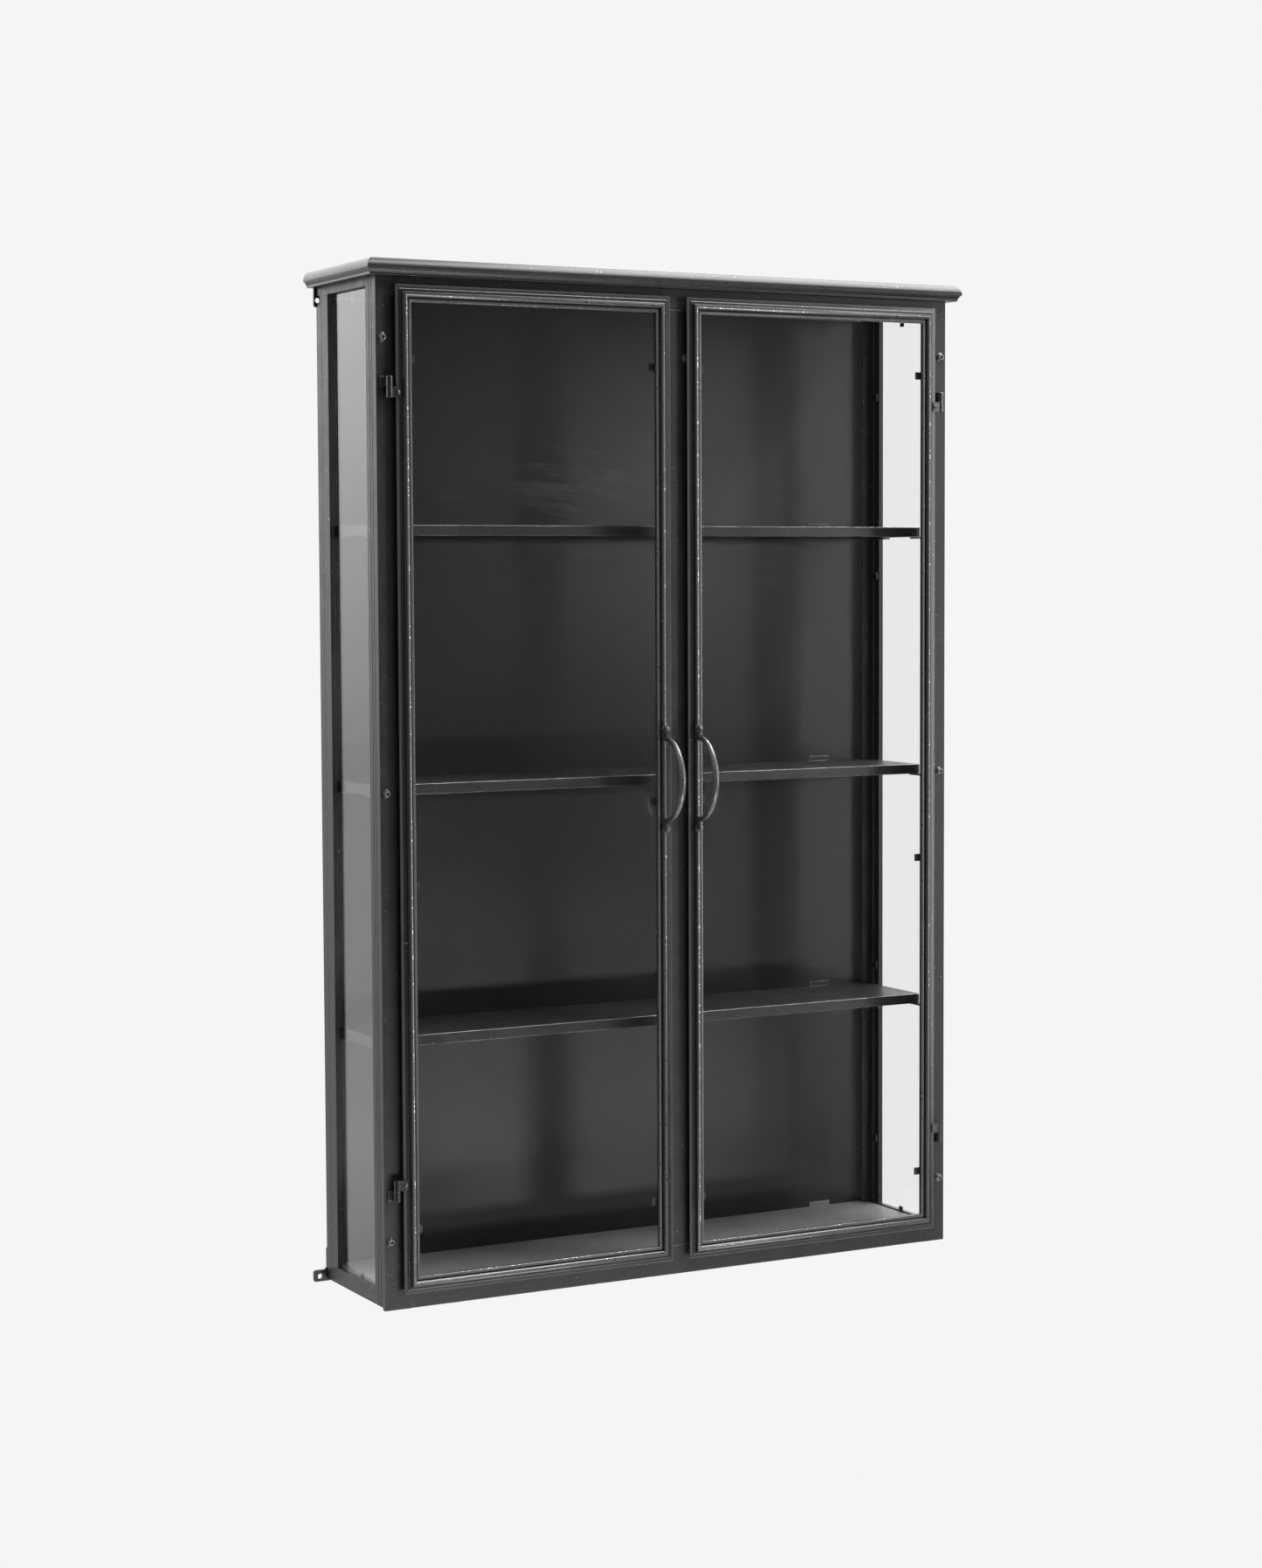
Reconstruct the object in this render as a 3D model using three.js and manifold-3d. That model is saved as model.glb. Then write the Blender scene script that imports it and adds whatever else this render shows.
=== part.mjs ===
// Wall-hung showcase: a black steel carcass with glazed sides, three sheet shelves and two glazed doors.
// Millimetres. X runs along the front, +Y points into the wall and +Z is up. The wall is the plane y = 0.
// The parts are drawn with z = 0 at the foot of the face frame; the last group moves the origin up to the
// middle of the rear top rail's wall face.

import * as THREE from 'three';
import { mergeVertices } from 'three/addons/utils/BufferGeometryUtils.js';
import Module from 'manifold-3d';

const wasm = await Module();
wasm.setup();

// ---------------------------------------------------------------- driving dimensions

const height = 1200; // foot of the face frame to the top of the cornice
const bodyWidth = 770; // over the two side frames
const bodyDepth = 174; // front of the face frame to the back of the rear posts
const lugThickness = 3; // the lugs lie between the rear posts and the wall

const corniceHeight = 19;
const corniceOverhang = 15; // the nose stands this far beyond the body
const corniceTopOverhang = 8; // the flat top ends here
const corniceFootOverhang = 11; // the underside starts here
const corniceSheet = 1.8;
const corniceTopFlange = 20; // the flat top reaches this far inwards
const corniceFootFlange = 12; // the underside reaches this far inwards

const barThickness = 6; // flat bar of the face frame and the side frames
const faceStileWidth = 32.5;
const faceTopRailHeight = 25;
const faceBottomRailHeight = 35;
const mullionOverlap = 9.5; // mullion hidden behind each door
const sideLift = 3; // the side frames stop this far above the foot of the face frame

const sideFrontStileWidth = 22.4;
const sideRearStileWidth = 18.9;
const sideTopRailHeight = 9.7;
const sideBottomRailHeight = 18.8;
const sideLegDepth = 12; // inner leg of the front stile, front to back
const sideRearLegDepth = 8.9;
const sideFrontLegThickness = 13; // face to the inside of the front stile's leg
const sideLegThickness = 10; // the same on the other three bars
const sideTopLegHeight = 3.5;
const sideBottomLegHeight = 10;
const grooveWidth = 1.2; // decorative grooves in the front stile's outer face
const grooveDepth = 0.9;
const grooveInsets = [4.7, 11.5]; // from the stile's front edge

const glassThickness = 3;
const glassClearance = 1.7; // pane edge to the leg beside it

const postGap = 0.6; // open seam between a side frame and its rear post
const postWidth = 20;
const postSheet = 2;
const postDepth = 14.5;
const postFoot = 3; // above the foot of the face frame
const rearTopRailHeight = 11.5;
const backPanelInset = 3; // panel's back face, measured from the back of the posts
const panelSheet = 1.2;
const sheetClearance = 0.3;

const bottomPanelLevel = 20.5;
const bottomPanelLip = 15;
const shelfLevels = { lower: 310, middle: 603, upper: 902 }; // top faces
const shelfLip = 12;
const shelfSetback = 41.6; // shelf's front edge behind the face frame's front
const backTabInset = 81; // middle of a shelf's rear tab from the body's side
const backTabWidth = 30;
const backTabHeight = 6;
const supportTabThickness = 2;
const supportTabReach = 28; // beyond the stile's flange
const supportTabWidth = 6;
const tabWeld = 4; // tabs and clips run this far into the stile they are welded to
const sideClipsFromFoot = [107, 335];
const sideClipsFromTop = [340, 111];
const sideClipLap = 1.5; // a side clip's end inside the stile's flange
const railClipSheet = 0.6; // clips in the middle of a side frame's top and bottom rails
const railClipReach = 25; // from the frame's end to the clip's free end

const doorSideMargin = 20.5; // body's side to the door's edge
const doorGap = 22.5; // between the two doors
const doorTopMargin = 9.5; // under the cornice
const doorBottomMargin = 18.5; // above the foot of the face frame
const doorStandoff = 1; // back of the door's bars to the face frame

const mouldWidth = 19.5; // outer edge to the sight edge
const mouldFlange = 8; // thin outer flange, before the bar's back
const flangeTop = 9.1; // front of the outer flange, from the face frame
const flangeSheet = 1.7;
const beadRadius = 3.5;
const beadCentre = 11.3; // from the outer edge
const beadRise = 10.1; // bead's centre from the face frame
const lipWidth = 3.6; // lip beside the sight edge
const lipTop = 9.9;
const rebateWidth = 7; // glass rebate, measured from the sight edge
const glassBack = 1.8; // back of the door glass, from the face frame
const doorGlassClearance = 0.3;

const clipHeight = 9; // folded glass clips
const clipReach = 6.5; // beyond the sight edge
const clipSheet = 1.1;
const clipBack = 0.3; // clip's back from the face frame
const doorClipLow = 73.5; // lowest clip above the door's bottom edge
const doorClipHigh = 83.5; // highest clip below the door's top edge
const doorClipHingeSide = 470.5; // middle clip above the door's bottom edge
const doorClipPullSide = 555.5;

const hingeInset = 13; // hinge axis from the body's side
const hingeRise = 8; // hinge axis in front of the face frame
const knuckleRadius = 4;
const knuckleHeight = 12;
const knuckleGap = 0.3;
const hingePinRadius = 2;
const hingePinPlay = 0.1;
const hingeAboveDoorBottom = 121.5;
const hingeBelowDoorTop = 115.5;
const hingeFootWidth = 13; // foot plate on the face frame
const hingeFootThickness = 2.2;
const hingeEarThickness = 2;
const hingeEarLap = 4.6; // ear's lap over the door's outer flange

const handleMiddle = 600.5;
const handleSpan = 119; // between the two screw eyes
const handleArchSpan = 98;
const handleReach = 46; // outermost face from the top of the bead
const eyeRadius = 5.5;
const eyeThickness = 3.4;
const handleHalfWidth = 4.1; // half of the arch's width at its middle
const handleHalfDepth = 3.7;
const handleTaper = 0.76; // root's size over the middle's

const screwInset = 7.8; // frame screws from the body's side
const screwFootInset = 80; // lowest screw above the foot
const screwTopInset = 69; // highest screw below the cornice
const screwRadius = 2.4;
const screwHoleRadius = 2.6;
const screwHeadRadius = 5.8;
const screwHeadHeight = 3.2;
const screwLength = 15; // under the head
const screwSocketRadius = 1.6;
const screwSocketDepth = 1.7;

const magnetRadius = 5;
const magnetThickness = 3;
const magnetPlay = 0.3;
const magnetInset = 5.6; // from the mullion's side
const magnetDrop = 81; // below the cornice

const lugHoleRadius = 3.1;
const lowerLugReach = 16.8; // beyond the body's side
const lowerLugHeight = 14;
const lowerLugHole = { out: 8.9, up: 6.2 };
const lowerLugLeg = 40; // height of the leg behind the post
const upperLugReach = 2.8;
const upperLugHeight = 22;
const upperLugHole = { inwards: 1.8, up: 8 };
const upperLugRelief = 10; // slot in the post beside the upper lug's hole
const lugCorner = 3;
const lugBehind = 13.5; // part of each lug behind its post

// ---------------------------------------------------------------- derived places

const frameTop = height - corniceHeight;
const front = -(lugThickness + bodyDepth);
const postBack = -lugThickness;
const halfBody = bodyWidth / 2;
const doorWidth = (bodyWidth - 2 * doorSideMargin - doorGap) / 2;
const doorBottom = doorBottomMargin;
const doorTop = frameTop - doorTopMargin;
const mullionWidth = doorGap + 2 * mullionOverlap;
const sideFront = front + barThickness;
const postFront = postBack - postDepth;
const sideBack = postFront - postGap;
const sideBottom = sideLift;
const paneFront = sideFront + sideLegDepth + glassClearance;
const paneBack = sideBack - sideRearLegDepth - glassClearance;
const paneBottom = sideBottom + sideBottomLegHeight + glassClearance;
const paneTop = frameTop - sideTopLegHeight - glassClearance;
const backPanelBack = postBack - backPanelInset;
const backPanelFront = backPanelBack - panelSheet;
const shelfHalf = halfBody - sideLegThickness - sheetClearance;
const beadTop = beadRise + beadRadius;
const paneInner = barThickness + glassThickness;
const magnetMiddle = mullionWidth / 2 - magnetInset;
const magnetLevel = frameTop - magnetDrop;
const screwLevels = {
  lower: screwFootInset,
  middle: (screwFootInset + frameTop - screwTopInset) / 2,
  upper: frameTop - screwTopInset,
};
const hingeMiddles = {
  lower: doorBottom + hingeAboveDoorBottom,
  upper: doorTop - hingeBelowDoorTop,
};
const doorClips = {
  hingeSide: [doorBottom + doorClipLow, doorBottom + doorClipHingeSide, doorTop - doorClipHigh],
  pullSide: [doorBottom + doorClipLow, doorBottom + doorClipPullSide, doorTop - doorClipHigh],
};
const sideClipLevels = [...sideClipsFromFoot, ...sideClipsFromTop.map((drop) => frameTop - drop)];
const rearBottomRailTop = bottomPanelLevel - panelSheet; // the bottom panel rests on this rail
const backTabMiddle = halfBody - backTabInset;
const upperLugBottom = frameTop - upperLugHeight;
const upperHoleLevel = upperLugBottom + upperLugHole.up;
const rearRailHalf = halfBody - postWidth - sheetClearance;

// ---------------------------------------------------------------- shape helpers

const SIDES = { left: -1, right: 1 };

// Turns a list of triangle corners into a geometry whose faces look outwards.
function outward(corners) {
  let volume = 0;
  for (let i = 0; i < corners.length; i += 3) {
    volume += corners[i].dot(corners[i + 1].clone().cross(corners[i + 2]));
  }
  if (volume < 0) {
    for (let i = 0; i < corners.length; i += 3) {
      [corners[i + 1], corners[i + 2]] = [corners[i + 2], corners[i + 1]];
    }
  }
  return new THREE.BufferGeometry().setFromPoints(corners);
}

// Joins rings of equal length into one closed skin; capOutline is the flat shape of the end rings.
function loft(rings, capOutline) {
  const count = capOutline.length;
  const corners = [];
  for (let r = 0; r + 1 < rings.length; r += 1) {
    const [a, b] = [rings[r], rings[r + 1]];
    for (let i = 0; i < count; i += 1) {
      const j = (i + 1) % count;
      corners.push(a[i], a[j], b[j], a[i], b[j], b[i]);
    }
  }
  const [first, last] = [rings[0], rings[rings.length - 1]];
  const flat = capOutline.map(([a, b]) => new THREE.Vector2(a, b));
  const clockwise = THREE.ShapeUtils.isClockWise(flat);
  for (const [i, j, k] of THREE.ShapeUtils.triangulateShape(flat, [])) {
    if (clockwise) {
      corners.push(first[i], first[j], first[k], last[k], last[j], last[i]);
    } else {
      corners.push(first[k], first[j], first[i], last[i], last[j], last[k]);
    }
  }
  return outward(corners.map((corner) => corner.clone()));
}

// Sweeps an outline of [across, out] points from start to end. Each end moves by its slope times
// across, so a slope of 1 or -1 cuts a mitre and 0 cuts it square. place(along, across, out) puts a point.
function bar(outline, [start, startSlope], [end, endSlope], place) {
  const ring = (base, slope) => outline.map(([across, out]) => place(base + slope * across, across, out));
  return loft([ring(start, startSlope), ring(end, endSlope)], outline);
}

function block([x0, x1], [y0, y1], [z0, z1]) {
  const outline = [[x0, y0], [x1, y0], [x1, y1], [x0, y1]];
  return bar(outline, [z0, 0], [z1, 0], (along, x, y) => new THREE.Vector3(x, y, along));
}

function rodAlongY(radius, [y0, y1], x, z, sides = 20) {
  const rod = new THREE.CylinderGeometry(radius, radius, y1 - y0, sides);
  return rod.translate(x, (y0 + y1) / 2, z);
}

function rodAlongZ(radius, [z0, z1], x, y, sides = 24) {
  const rod = new THREE.CylinderGeometry(radius, radius, z1 - z0, sides);
  return rod.rotateX(Math.PI / 2).translate(x, y, (z0 + z1) / 2);
}

function toSolid(geometry) {
  const bare = new THREE.BufferGeometry();
  bare.setAttribute('position', geometry.getAttribute('position'));
  bare.setIndex(geometry.getIndex());
  const welded = mergeVertices(bare, 1e-4);
  const mesh = new wasm.Mesh({
    numProp: 3,
    vertProperties: new Float32Array(welded.getAttribute('position').array),
    triVerts: new Uint32Array(welded.getIndex().array),
  });
  return new wasm.Manifold(mesh);
}

function toGeometry(solid) {
  const mesh = solid.getMesh();
  const geometry = new THREE.BufferGeometry();
  geometry.setAttribute('position', new THREE.BufferAttribute(mesh.vertProperties, 3));
  geometry.setIndex(new THREE.BufferAttribute(mesh.triVerts, 1));
  return geometry.toNonIndexed();
}

function join(first, ...others) {
  return toGeometry(others.reduce((solid, other) => solid.add(toSolid(other)), toSolid(first)));
}

function cut(first, ...tools) {
  return toGeometry(tools.reduce((solid, tool) => solid.subtract(toSolid(tool)), toSolid(first)));
}

// Keeps a pair of x values in rising order after they are mirrored to one side.
function across(side, a, b) {
  return [side * a, side * b].sort((p, q) => p - q);
}

const FINISHES = {
  paint: { color: 0x26262a, roughness: 0.42, metalness: 0.45 },
  sheet: { color: 0x1b1b1e, roughness: 0.5, metalness: 0.4 },
  iron: { color: 0x1d1d1f, roughness: 0.35, metalness: 0.6 },
  screw: { color: 0x3a3a3c, roughness: 0.35, metalness: 0.8 },
  magnet: { color: 0x8d8f92, roughness: 0.3, metalness: 1 },
  glass: { color: 0xdfe6e4, roughness: 0.05, metalness: 0, transparent: true, opacity: 0.25 },
};

function piece(name, geometry, finish) {
  geometry.computeVertexNormals();
  const mesh = new THREE.Mesh(geometry, new THREE.MeshStandardMaterial(FINISHES[finish]));
  mesh.name = name;
  return mesh;
}

// ---------------------------------------------------------------- face frame

function faceFrame() {
  const frameDepth = [front, front + barThickness];
  const pieces = [];
  for (const [label, side] of Object.entries(SIDES)) {
    const stile = block(across(side, halfBody - faceStileWidth, halfBody), frameDepth, [0, frameTop]);
    const screwHoles = Object.values(screwLevels).map((level) => (
      rodAlongY(screwHoleRadius, [front - 1, front + barThickness + 1], side * (halfBody - screwInset), level)
    ));
    pieces.push(piece(`face_stile_${label}`, cut(stile, ...screwHoles), 'paint'));
  }

  const mullion = block(
    [-mullionWidth / 2, mullionWidth / 2],
    frameDepth,
    [faceBottomRailHeight, frameTop - faceTopRailHeight],
  );
  const pocketDepth = [front - 1, front + magnetThickness + magnetPlay];
  const pockets = Object.values(SIDES).map((side) => (
    rodAlongY(magnetRadius + magnetPlay, pocketDepth, side * magnetMiddle, magnetLevel)
  ));
  pieces.push(piece('face_mullion', cut(mullion, ...pockets), 'paint'));
  for (const [label, side] of Object.entries(SIDES)) {
    const disc = rodAlongY(magnetRadius, [front, front + magnetThickness], side * magnetMiddle, magnetLevel);
    pieces.push(piece(`door_magnet_${label}`, disc, 'magnet'));
  }

  const railSpan = [-(halfBody - faceStileWidth), halfBody - faceStileWidth];
  const topRail = block(railSpan, frameDepth, [frameTop - faceTopRailHeight, frameTop]);
  const bottomRail = block(railSpan, frameDepth, [0, faceBottomRailHeight]);
  pieces.push(piece('face_top_rail', topRail, 'paint'));
  pieces.push(piece('face_bottom_rail', bottomRail, 'paint'));
  return pieces;
}

// A button-head screw: flanged head with a round socket, and its shank.
function frameScrews() {
  const profile = [
    [0, screwLength],
    [screwRadius, screwLength],
    [screwRadius, 0],
    [screwHeadRadius, 0],
    [screwHeadRadius, -0.25 * screwHeadHeight],
    [0.78 * screwHeadRadius, -0.45 * screwHeadHeight],
    [0.66 * screwHeadRadius, -0.8 * screwHeadHeight],
    [0.4 * screwHeadRadius, -screwHeadHeight],
    [screwSocketRadius, -screwHeadHeight],
    [screwSocketRadius, screwSocketDepth - screwHeadHeight],
    [0, screwSocketDepth - screwHeadHeight],
  ];
  const points = profile.reverse().map(([radius, along]) => new THREE.Vector2(radius, along));
  const pieces = [];
  for (const [label, side] of Object.entries(SIDES)) {
    for (const [row, level] of Object.entries(screwLevels)) {
      const screwX = side * (halfBody - screwInset);
      const screw = new THREE.LatheGeometry(points, 16).translate(screwX, front, level);
      pieces.push(piece(`frame_screw_${row}_${label}`, toGeometry(toSolid(screw)), 'screw'));
    }
  }
  return pieces;
}

// ---------------------------------------------------------------- side frames and their panes

// Small tabs on a stile: the ones under the shelves, and the folded clips that hold the pane.
function stileTabs(side, yFlange, yLeg, towards) {
  const underShelf = Object.values(shelfLevels).map((level) => block(
    across(side, halfBody - sideLegThickness - supportTabWidth, halfBody - paneInner - sheetClearance),
    [yLeg, yFlange + towards * supportTabReach].sort((p, q) => p - q),
    [level - shelfLip - sheetClearance - supportTabThickness, level - shelfLip - sheetClearance],
  ));
  const paneClips = sideClipLevels.map((level) => block(
    across(side, halfBody - paneInner - sheetClearance - clipSheet, halfBody - paneInner - sheetClearance),
    [yLeg, yFlange - towards * sideClipLap].sort((p, q) => p - q),
    [level - clipHeight / 2, level + clipHeight / 2],
  ));
  return [...underShelf, ...paneClips];
}

// The folded clip in the middle of a side frame's rail; its root is welded into the rail's leg.
function railClip(side, [root, tip]) {
  const middle = (paneFront + paneBack) / 2;
  const againstPane = halfBody - paneInner - sheetClearance;
  return block(
    across(side, againstPane - railClipSheet, againstPane),
    [middle - clipHeight / 2, middle + clipHeight / 2],
    [root, tip].sort((p, q) => p - q),
  );
}

function sideFrames() {
  const pieces = [];
  for (const [label, side] of Object.entries(SIDES)) {
    const place = (along, inwards, back) => new THREE.Vector3(side * (halfBody - inwards), back, along);
    const alongDepth = (along, inwards, up) => new THREE.Vector3(side * (halfBody - inwards), along, up);

    const grooves = grooveInsets.flatMap((inset) => [
      [0, sideFront + inset + grooveWidth],
      [grooveDepth, sideFront + inset + grooveWidth / 2],
      [0, sideFront + inset],
    ].reverse());
    const frontStile = [
      [0, sideFront],
      ...grooves,
      [0, sideFront + sideFrontStileWidth],
      [barThickness, sideFront + sideFrontStileWidth],
      [barThickness, sideFront + sideLegDepth],
      [sideFrontLegThickness, sideFront + sideLegDepth],
      [sideFrontLegThickness, sideFront],
    ];
    const frontTabs = stileTabs(side, sideFront + sideFrontStileWidth, sideFront + sideLegDepth - tabWeld, 1);
    const screwX = side * (halfBody - screwInset);
    const screwHoles = Object.values(screwLevels).map((level) => (
      rodAlongY(screwHoleRadius, [sideFront - 1, front + screwLength + 1], screwX, level)
    ));
    const frontBar = bar(frontStile, [sideBottom, 0], [frameTop, 0], place);
    const frontSolid = cut(join(frontBar, ...frontTabs), ...screwHoles);
    pieces.push(piece(`side_front_stile_${label}`, frontSolid, 'paint'));

    const rearStile = [
      [0, sideBack],
      [0, sideBack - sideRearStileWidth],
      [barThickness, sideBack - sideRearStileWidth],
      [barThickness, sideBack - sideRearLegDepth],
      [sideLegThickness, sideBack - sideRearLegDepth],
      [sideLegThickness, sideBack],
    ];
    const rearFlange = sideBack - sideRearStileWidth;
    const rearTabs = stileTabs(side, rearFlange, sideBack - sideRearLegDepth + tabWeld, -1);
    const rearBar = bar(rearStile, [sideBottom, 0], [frameTop, 0], place);
    pieces.push(piece(`side_rear_stile_${label}`, join(rearBar, ...rearTabs), 'paint'));

    const railSpan = [[sideFront + sideFrontStileWidth, 0], [sideBack - sideRearStileWidth, 0]];
    const topRail = [
      [0, frameTop],
      [0, frameTop - sideTopRailHeight],
      [barThickness, frameTop - sideTopRailHeight],
      [barThickness, frameTop - sideTopLegHeight],
      [sideLegThickness, frameTop - sideTopLegHeight],
      [sideLegThickness, frameTop],
    ];
    const topClip = railClip(side, [frameTop - sideTopLegHeight / 2, frameTop - railClipReach]);
    const topBar = bar(topRail, ...railSpan, alongDepth);
    pieces.push(piece(`side_top_rail_${label}`, join(topBar, topClip), 'paint'));
    const bottomRail = [
      [0, sideBottom],
      [0, sideBottom + sideBottomRailHeight],
      [barThickness, sideBottom + sideBottomRailHeight],
      [barThickness, sideBottom + sideBottomLegHeight],
      [sideLegThickness, sideBottom + sideBottomLegHeight],
      [sideLegThickness, sideBottom],
    ];
    const bottomClip = railClip(side, [sideBottom + sideBottomLegHeight / 2, sideBottom + railClipReach]);
    const bottomBar = bar(bottomRail, ...railSpan, alongDepth);
    pieces.push(piece(`side_bottom_rail_${label}`, join(bottomBar, bottomClip), 'paint'));

    const pane = block(
      across(side, halfBody - paneInner, halfBody - barThickness),
      [paneFront, paneBack],
      [paneBottom, paneTop],
    );
    pieces.push(piece(`side_glass_${label}`, pane, 'glass'));
  }
  return pieces;
}

// ---------------------------------------------------------------- rear frame, back panel and wall lugs

function rearFrame() {
  const pieces = [];
  for (const [label, side] of Object.entries(SIDES)) {
    const place = (along, inwards, back) => new THREE.Vector3(side * (halfBody - inwards), back, along);
    const angle = [
      [0, postFront],
      [postWidth, postFront],
      [postWidth, postFront + postSheet],
      [postSheet, postFront + postSheet],
      [postSheet, postBack],
      [0, postBack],
    ];
    const relief = block(
      across(side, halfBody - 2 * postSheet, halfBody + 1),
      [postBack - upperLugRelief, postBack + 1],
      [upperHoleLevel - upperLugRelief / 2, upperHoleLevel + upperLugRelief / 2],
    );
    const post = bar(angle, [postFoot, 0], [frameTop, 0], place);
    pieces.push(piece(`rear_post_${label}`, cut(post, relief), 'paint'));
  }

  const railSpan = [-rearRailHalf, rearRailHalf];
  const topRail = block(railSpan, [postFront, 0], [frameTop - rearTopRailHeight, frameTop]);
  const bottomRail = block(railSpan, [postFront, 0], [postFoot, rearBottomRailTop]);
  pieces.push(piece('rear_top_rail', topRail, 'paint'));
  pieces.push(piece('rear_bottom_rail', bottomRail, 'paint'));

  const panelHalf = halfBody - postSheet - sheetClearance;
  const panel = block(
    [-panelHalf, panelHalf],
    [backPanelFront, backPanelBack],
    [rearBottomRailTop + sheetClearance, frameTop - rearTopRailHeight - sheetClearance],
  );
  pieces.push(piece('back_panel', panel, 'sheet'));
  return pieces;
}

// A flat lug with rounded outer corners and a hole, drawn as [outwards, up] and laid against the wall.
function lug(side, outline, rounded, hole) {
  const shape = new THREE.Shape();
  outline.forEach(([x, z], i) => {
    const [px, pz] = outline[(i + outline.length - 1) % outline.length];
    const [nx, nz] = outline[(i + 1) % outline.length];
    const radius = rounded.includes(i) ? lugCorner : 0;
    const into = new THREE.Vector2(px - x, pz - z).setLength(radius);
    const out = new THREE.Vector2(nx - x, nz - z).setLength(radius);
    if (i === 0) {
      shape.moveTo(x + into.x, z + into.y);
    } else {
      shape.lineTo(x + into.x, z + into.y);
    }
    if (radius > 0) {
      shape.quadraticCurveTo(x, z, x + out.x, z + out.y);
    }
  });
  shape.closePath();
  const ring = new THREE.Path().absarc(hole.x, hole.z, lugHoleRadius, 0, 2 * Math.PI, true);
  shape.holes.push(ring);
  const plate = { depth: lugThickness, bevelEnabled: false, curveSegments: 10 };
  const flat = new THREE.ExtrudeGeometry(shape, plate);
  const corners = [];
  const position = flat.getAttribute('position');
  for (let i = 0; i < position.count; i += 1) {
    const x = side * (halfBody + position.getX(i));
    corners.push(new THREE.Vector3(x, position.getZ(i) - lugThickness, position.getY(i)));
  }
  return toGeometry(toSolid(outward(corners)));
}

function wallLugs() {
  const pieces = [];
  const behind = -lugBehind;
  for (const [label, side] of Object.entries(SIDES)) {
    const lower = [
      [behind, 0],
      [lowerLugReach, 0],
      [lowerLugReach, lowerLugHeight],
      [lugCorner, lowerLugHeight],
      [0, lowerLugHeight + lugCorner],
      [0, lowerLugLeg],
      [behind, lowerLugLeg],
    ];
    const lowerHole = { x: lowerLugHole.out, z: lowerLugHole.up };
    pieces.push(piece(`wall_lug_lower_${label}`, lug(side, lower, [1, 2], lowerHole), 'paint'));

    const upper = [
      [behind, upperLugBottom],
      [upperLugReach, upperLugBottom],
      [upperLugReach, upperLugBottom + upperLugHeight],
      [behind, upperLugBottom + upperLugHeight],
    ];
    const upperHole = { x: -upperLugHole.inwards, z: upperHoleLevel };
    pieces.push(piece(`wall_lug_upper_${label}`, lug(side, upper, [0, 1], upperHole), 'paint'));
  }
  return pieces;
}

// ---------------------------------------------------------------- top, bottom and shelves

// The cornice moulding, drawn as [beyond the body, up] and rolled from sheet.
function cornice() {
  const top = height;
  const outer = [
    [-corniceFootFlange, frameTop],
    [corniceFootOverhang, frameTop],
    [corniceFootOverhang, frameTop + 2.6],
    [corniceFootOverhang + 0.9, frameTop + 3.4],
    [corniceFootOverhang + 2, frameTop + 5.8],
    [corniceOverhang, frameTop + 7.3],
    [corniceOverhang, frameTop + 10.2],
    [corniceOverhang - 1.2, frameTop + 13.6],
    [corniceTopOverhang + 3, top - 1.7],
    [corniceTopOverhang, top],
    [-corniceTopFlange, top],
  ];
  const inner = [
    [-corniceTopFlange, top - corniceSheet],
    [corniceTopOverhang - 0.6, top - corniceSheet],
    [corniceTopOverhang + 2, top - corniceSheet - 1.4],
    [corniceOverhang - 2.8, frameTop + 12.6],
    [corniceOverhang - corniceSheet, frameTop + 9.9],
    [corniceOverhang - corniceSheet, frameTop + 8.3],
    [corniceFootOverhang + 0.6, frameTop + 7.2],
    [corniceFootOverhang - 0.7, frameTop + 4.3],
    [corniceFootOverhang - corniceSheet, frameTop + 3.4],
    [corniceFootOverhang - corniceSheet, frameTop + corniceSheet],
    [-corniceFootFlange, frameTop + corniceSheet],
  ];
  const outline = [...outer, ...inner];
  const alongFront = (along, out, up) => new THREE.Vector3(along, front - out, up);
  const pieces = [
    piece('cornice_front', bar(outline, [-halfBody, -1], [halfBody, 1], alongFront), 'paint'),
  ];
  for (const [label, side] of Object.entries(SIDES)) {
    const alongSide = (along, out, up) => new THREE.Vector3(side * (halfBody + out), along, up);
    pieces.push(piece(`cornice_${label}`, bar(outline, [front, -1], [0, 0], alongSide), 'paint'));
  }

  const lidHalf = halfBody + corniceTopOverhang - sheetClearance - 3 * corniceSheet;
  const lid = block(
    [-lidHalf, lidHalf],
    [front - corniceTopOverhang + sheetClearance + 3 * corniceSheet, -sheetClearance],
    [top - corniceSheet - panelSheet, top - corniceSheet],
  );
  const rearLipHalf = halfBody - corniceFootFlange - sheetClearance;
  const rearLip = block(
    [-rearLipHalf, rearLipHalf],
    [-sheetClearance - panelSheet, -sheetClearance],
    [frameTop, top - corniceSheet],
  );
  pieces.push(piece('top_panel', join(lid, rearLip), 'sheet'));
  return pieces;
}

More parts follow.
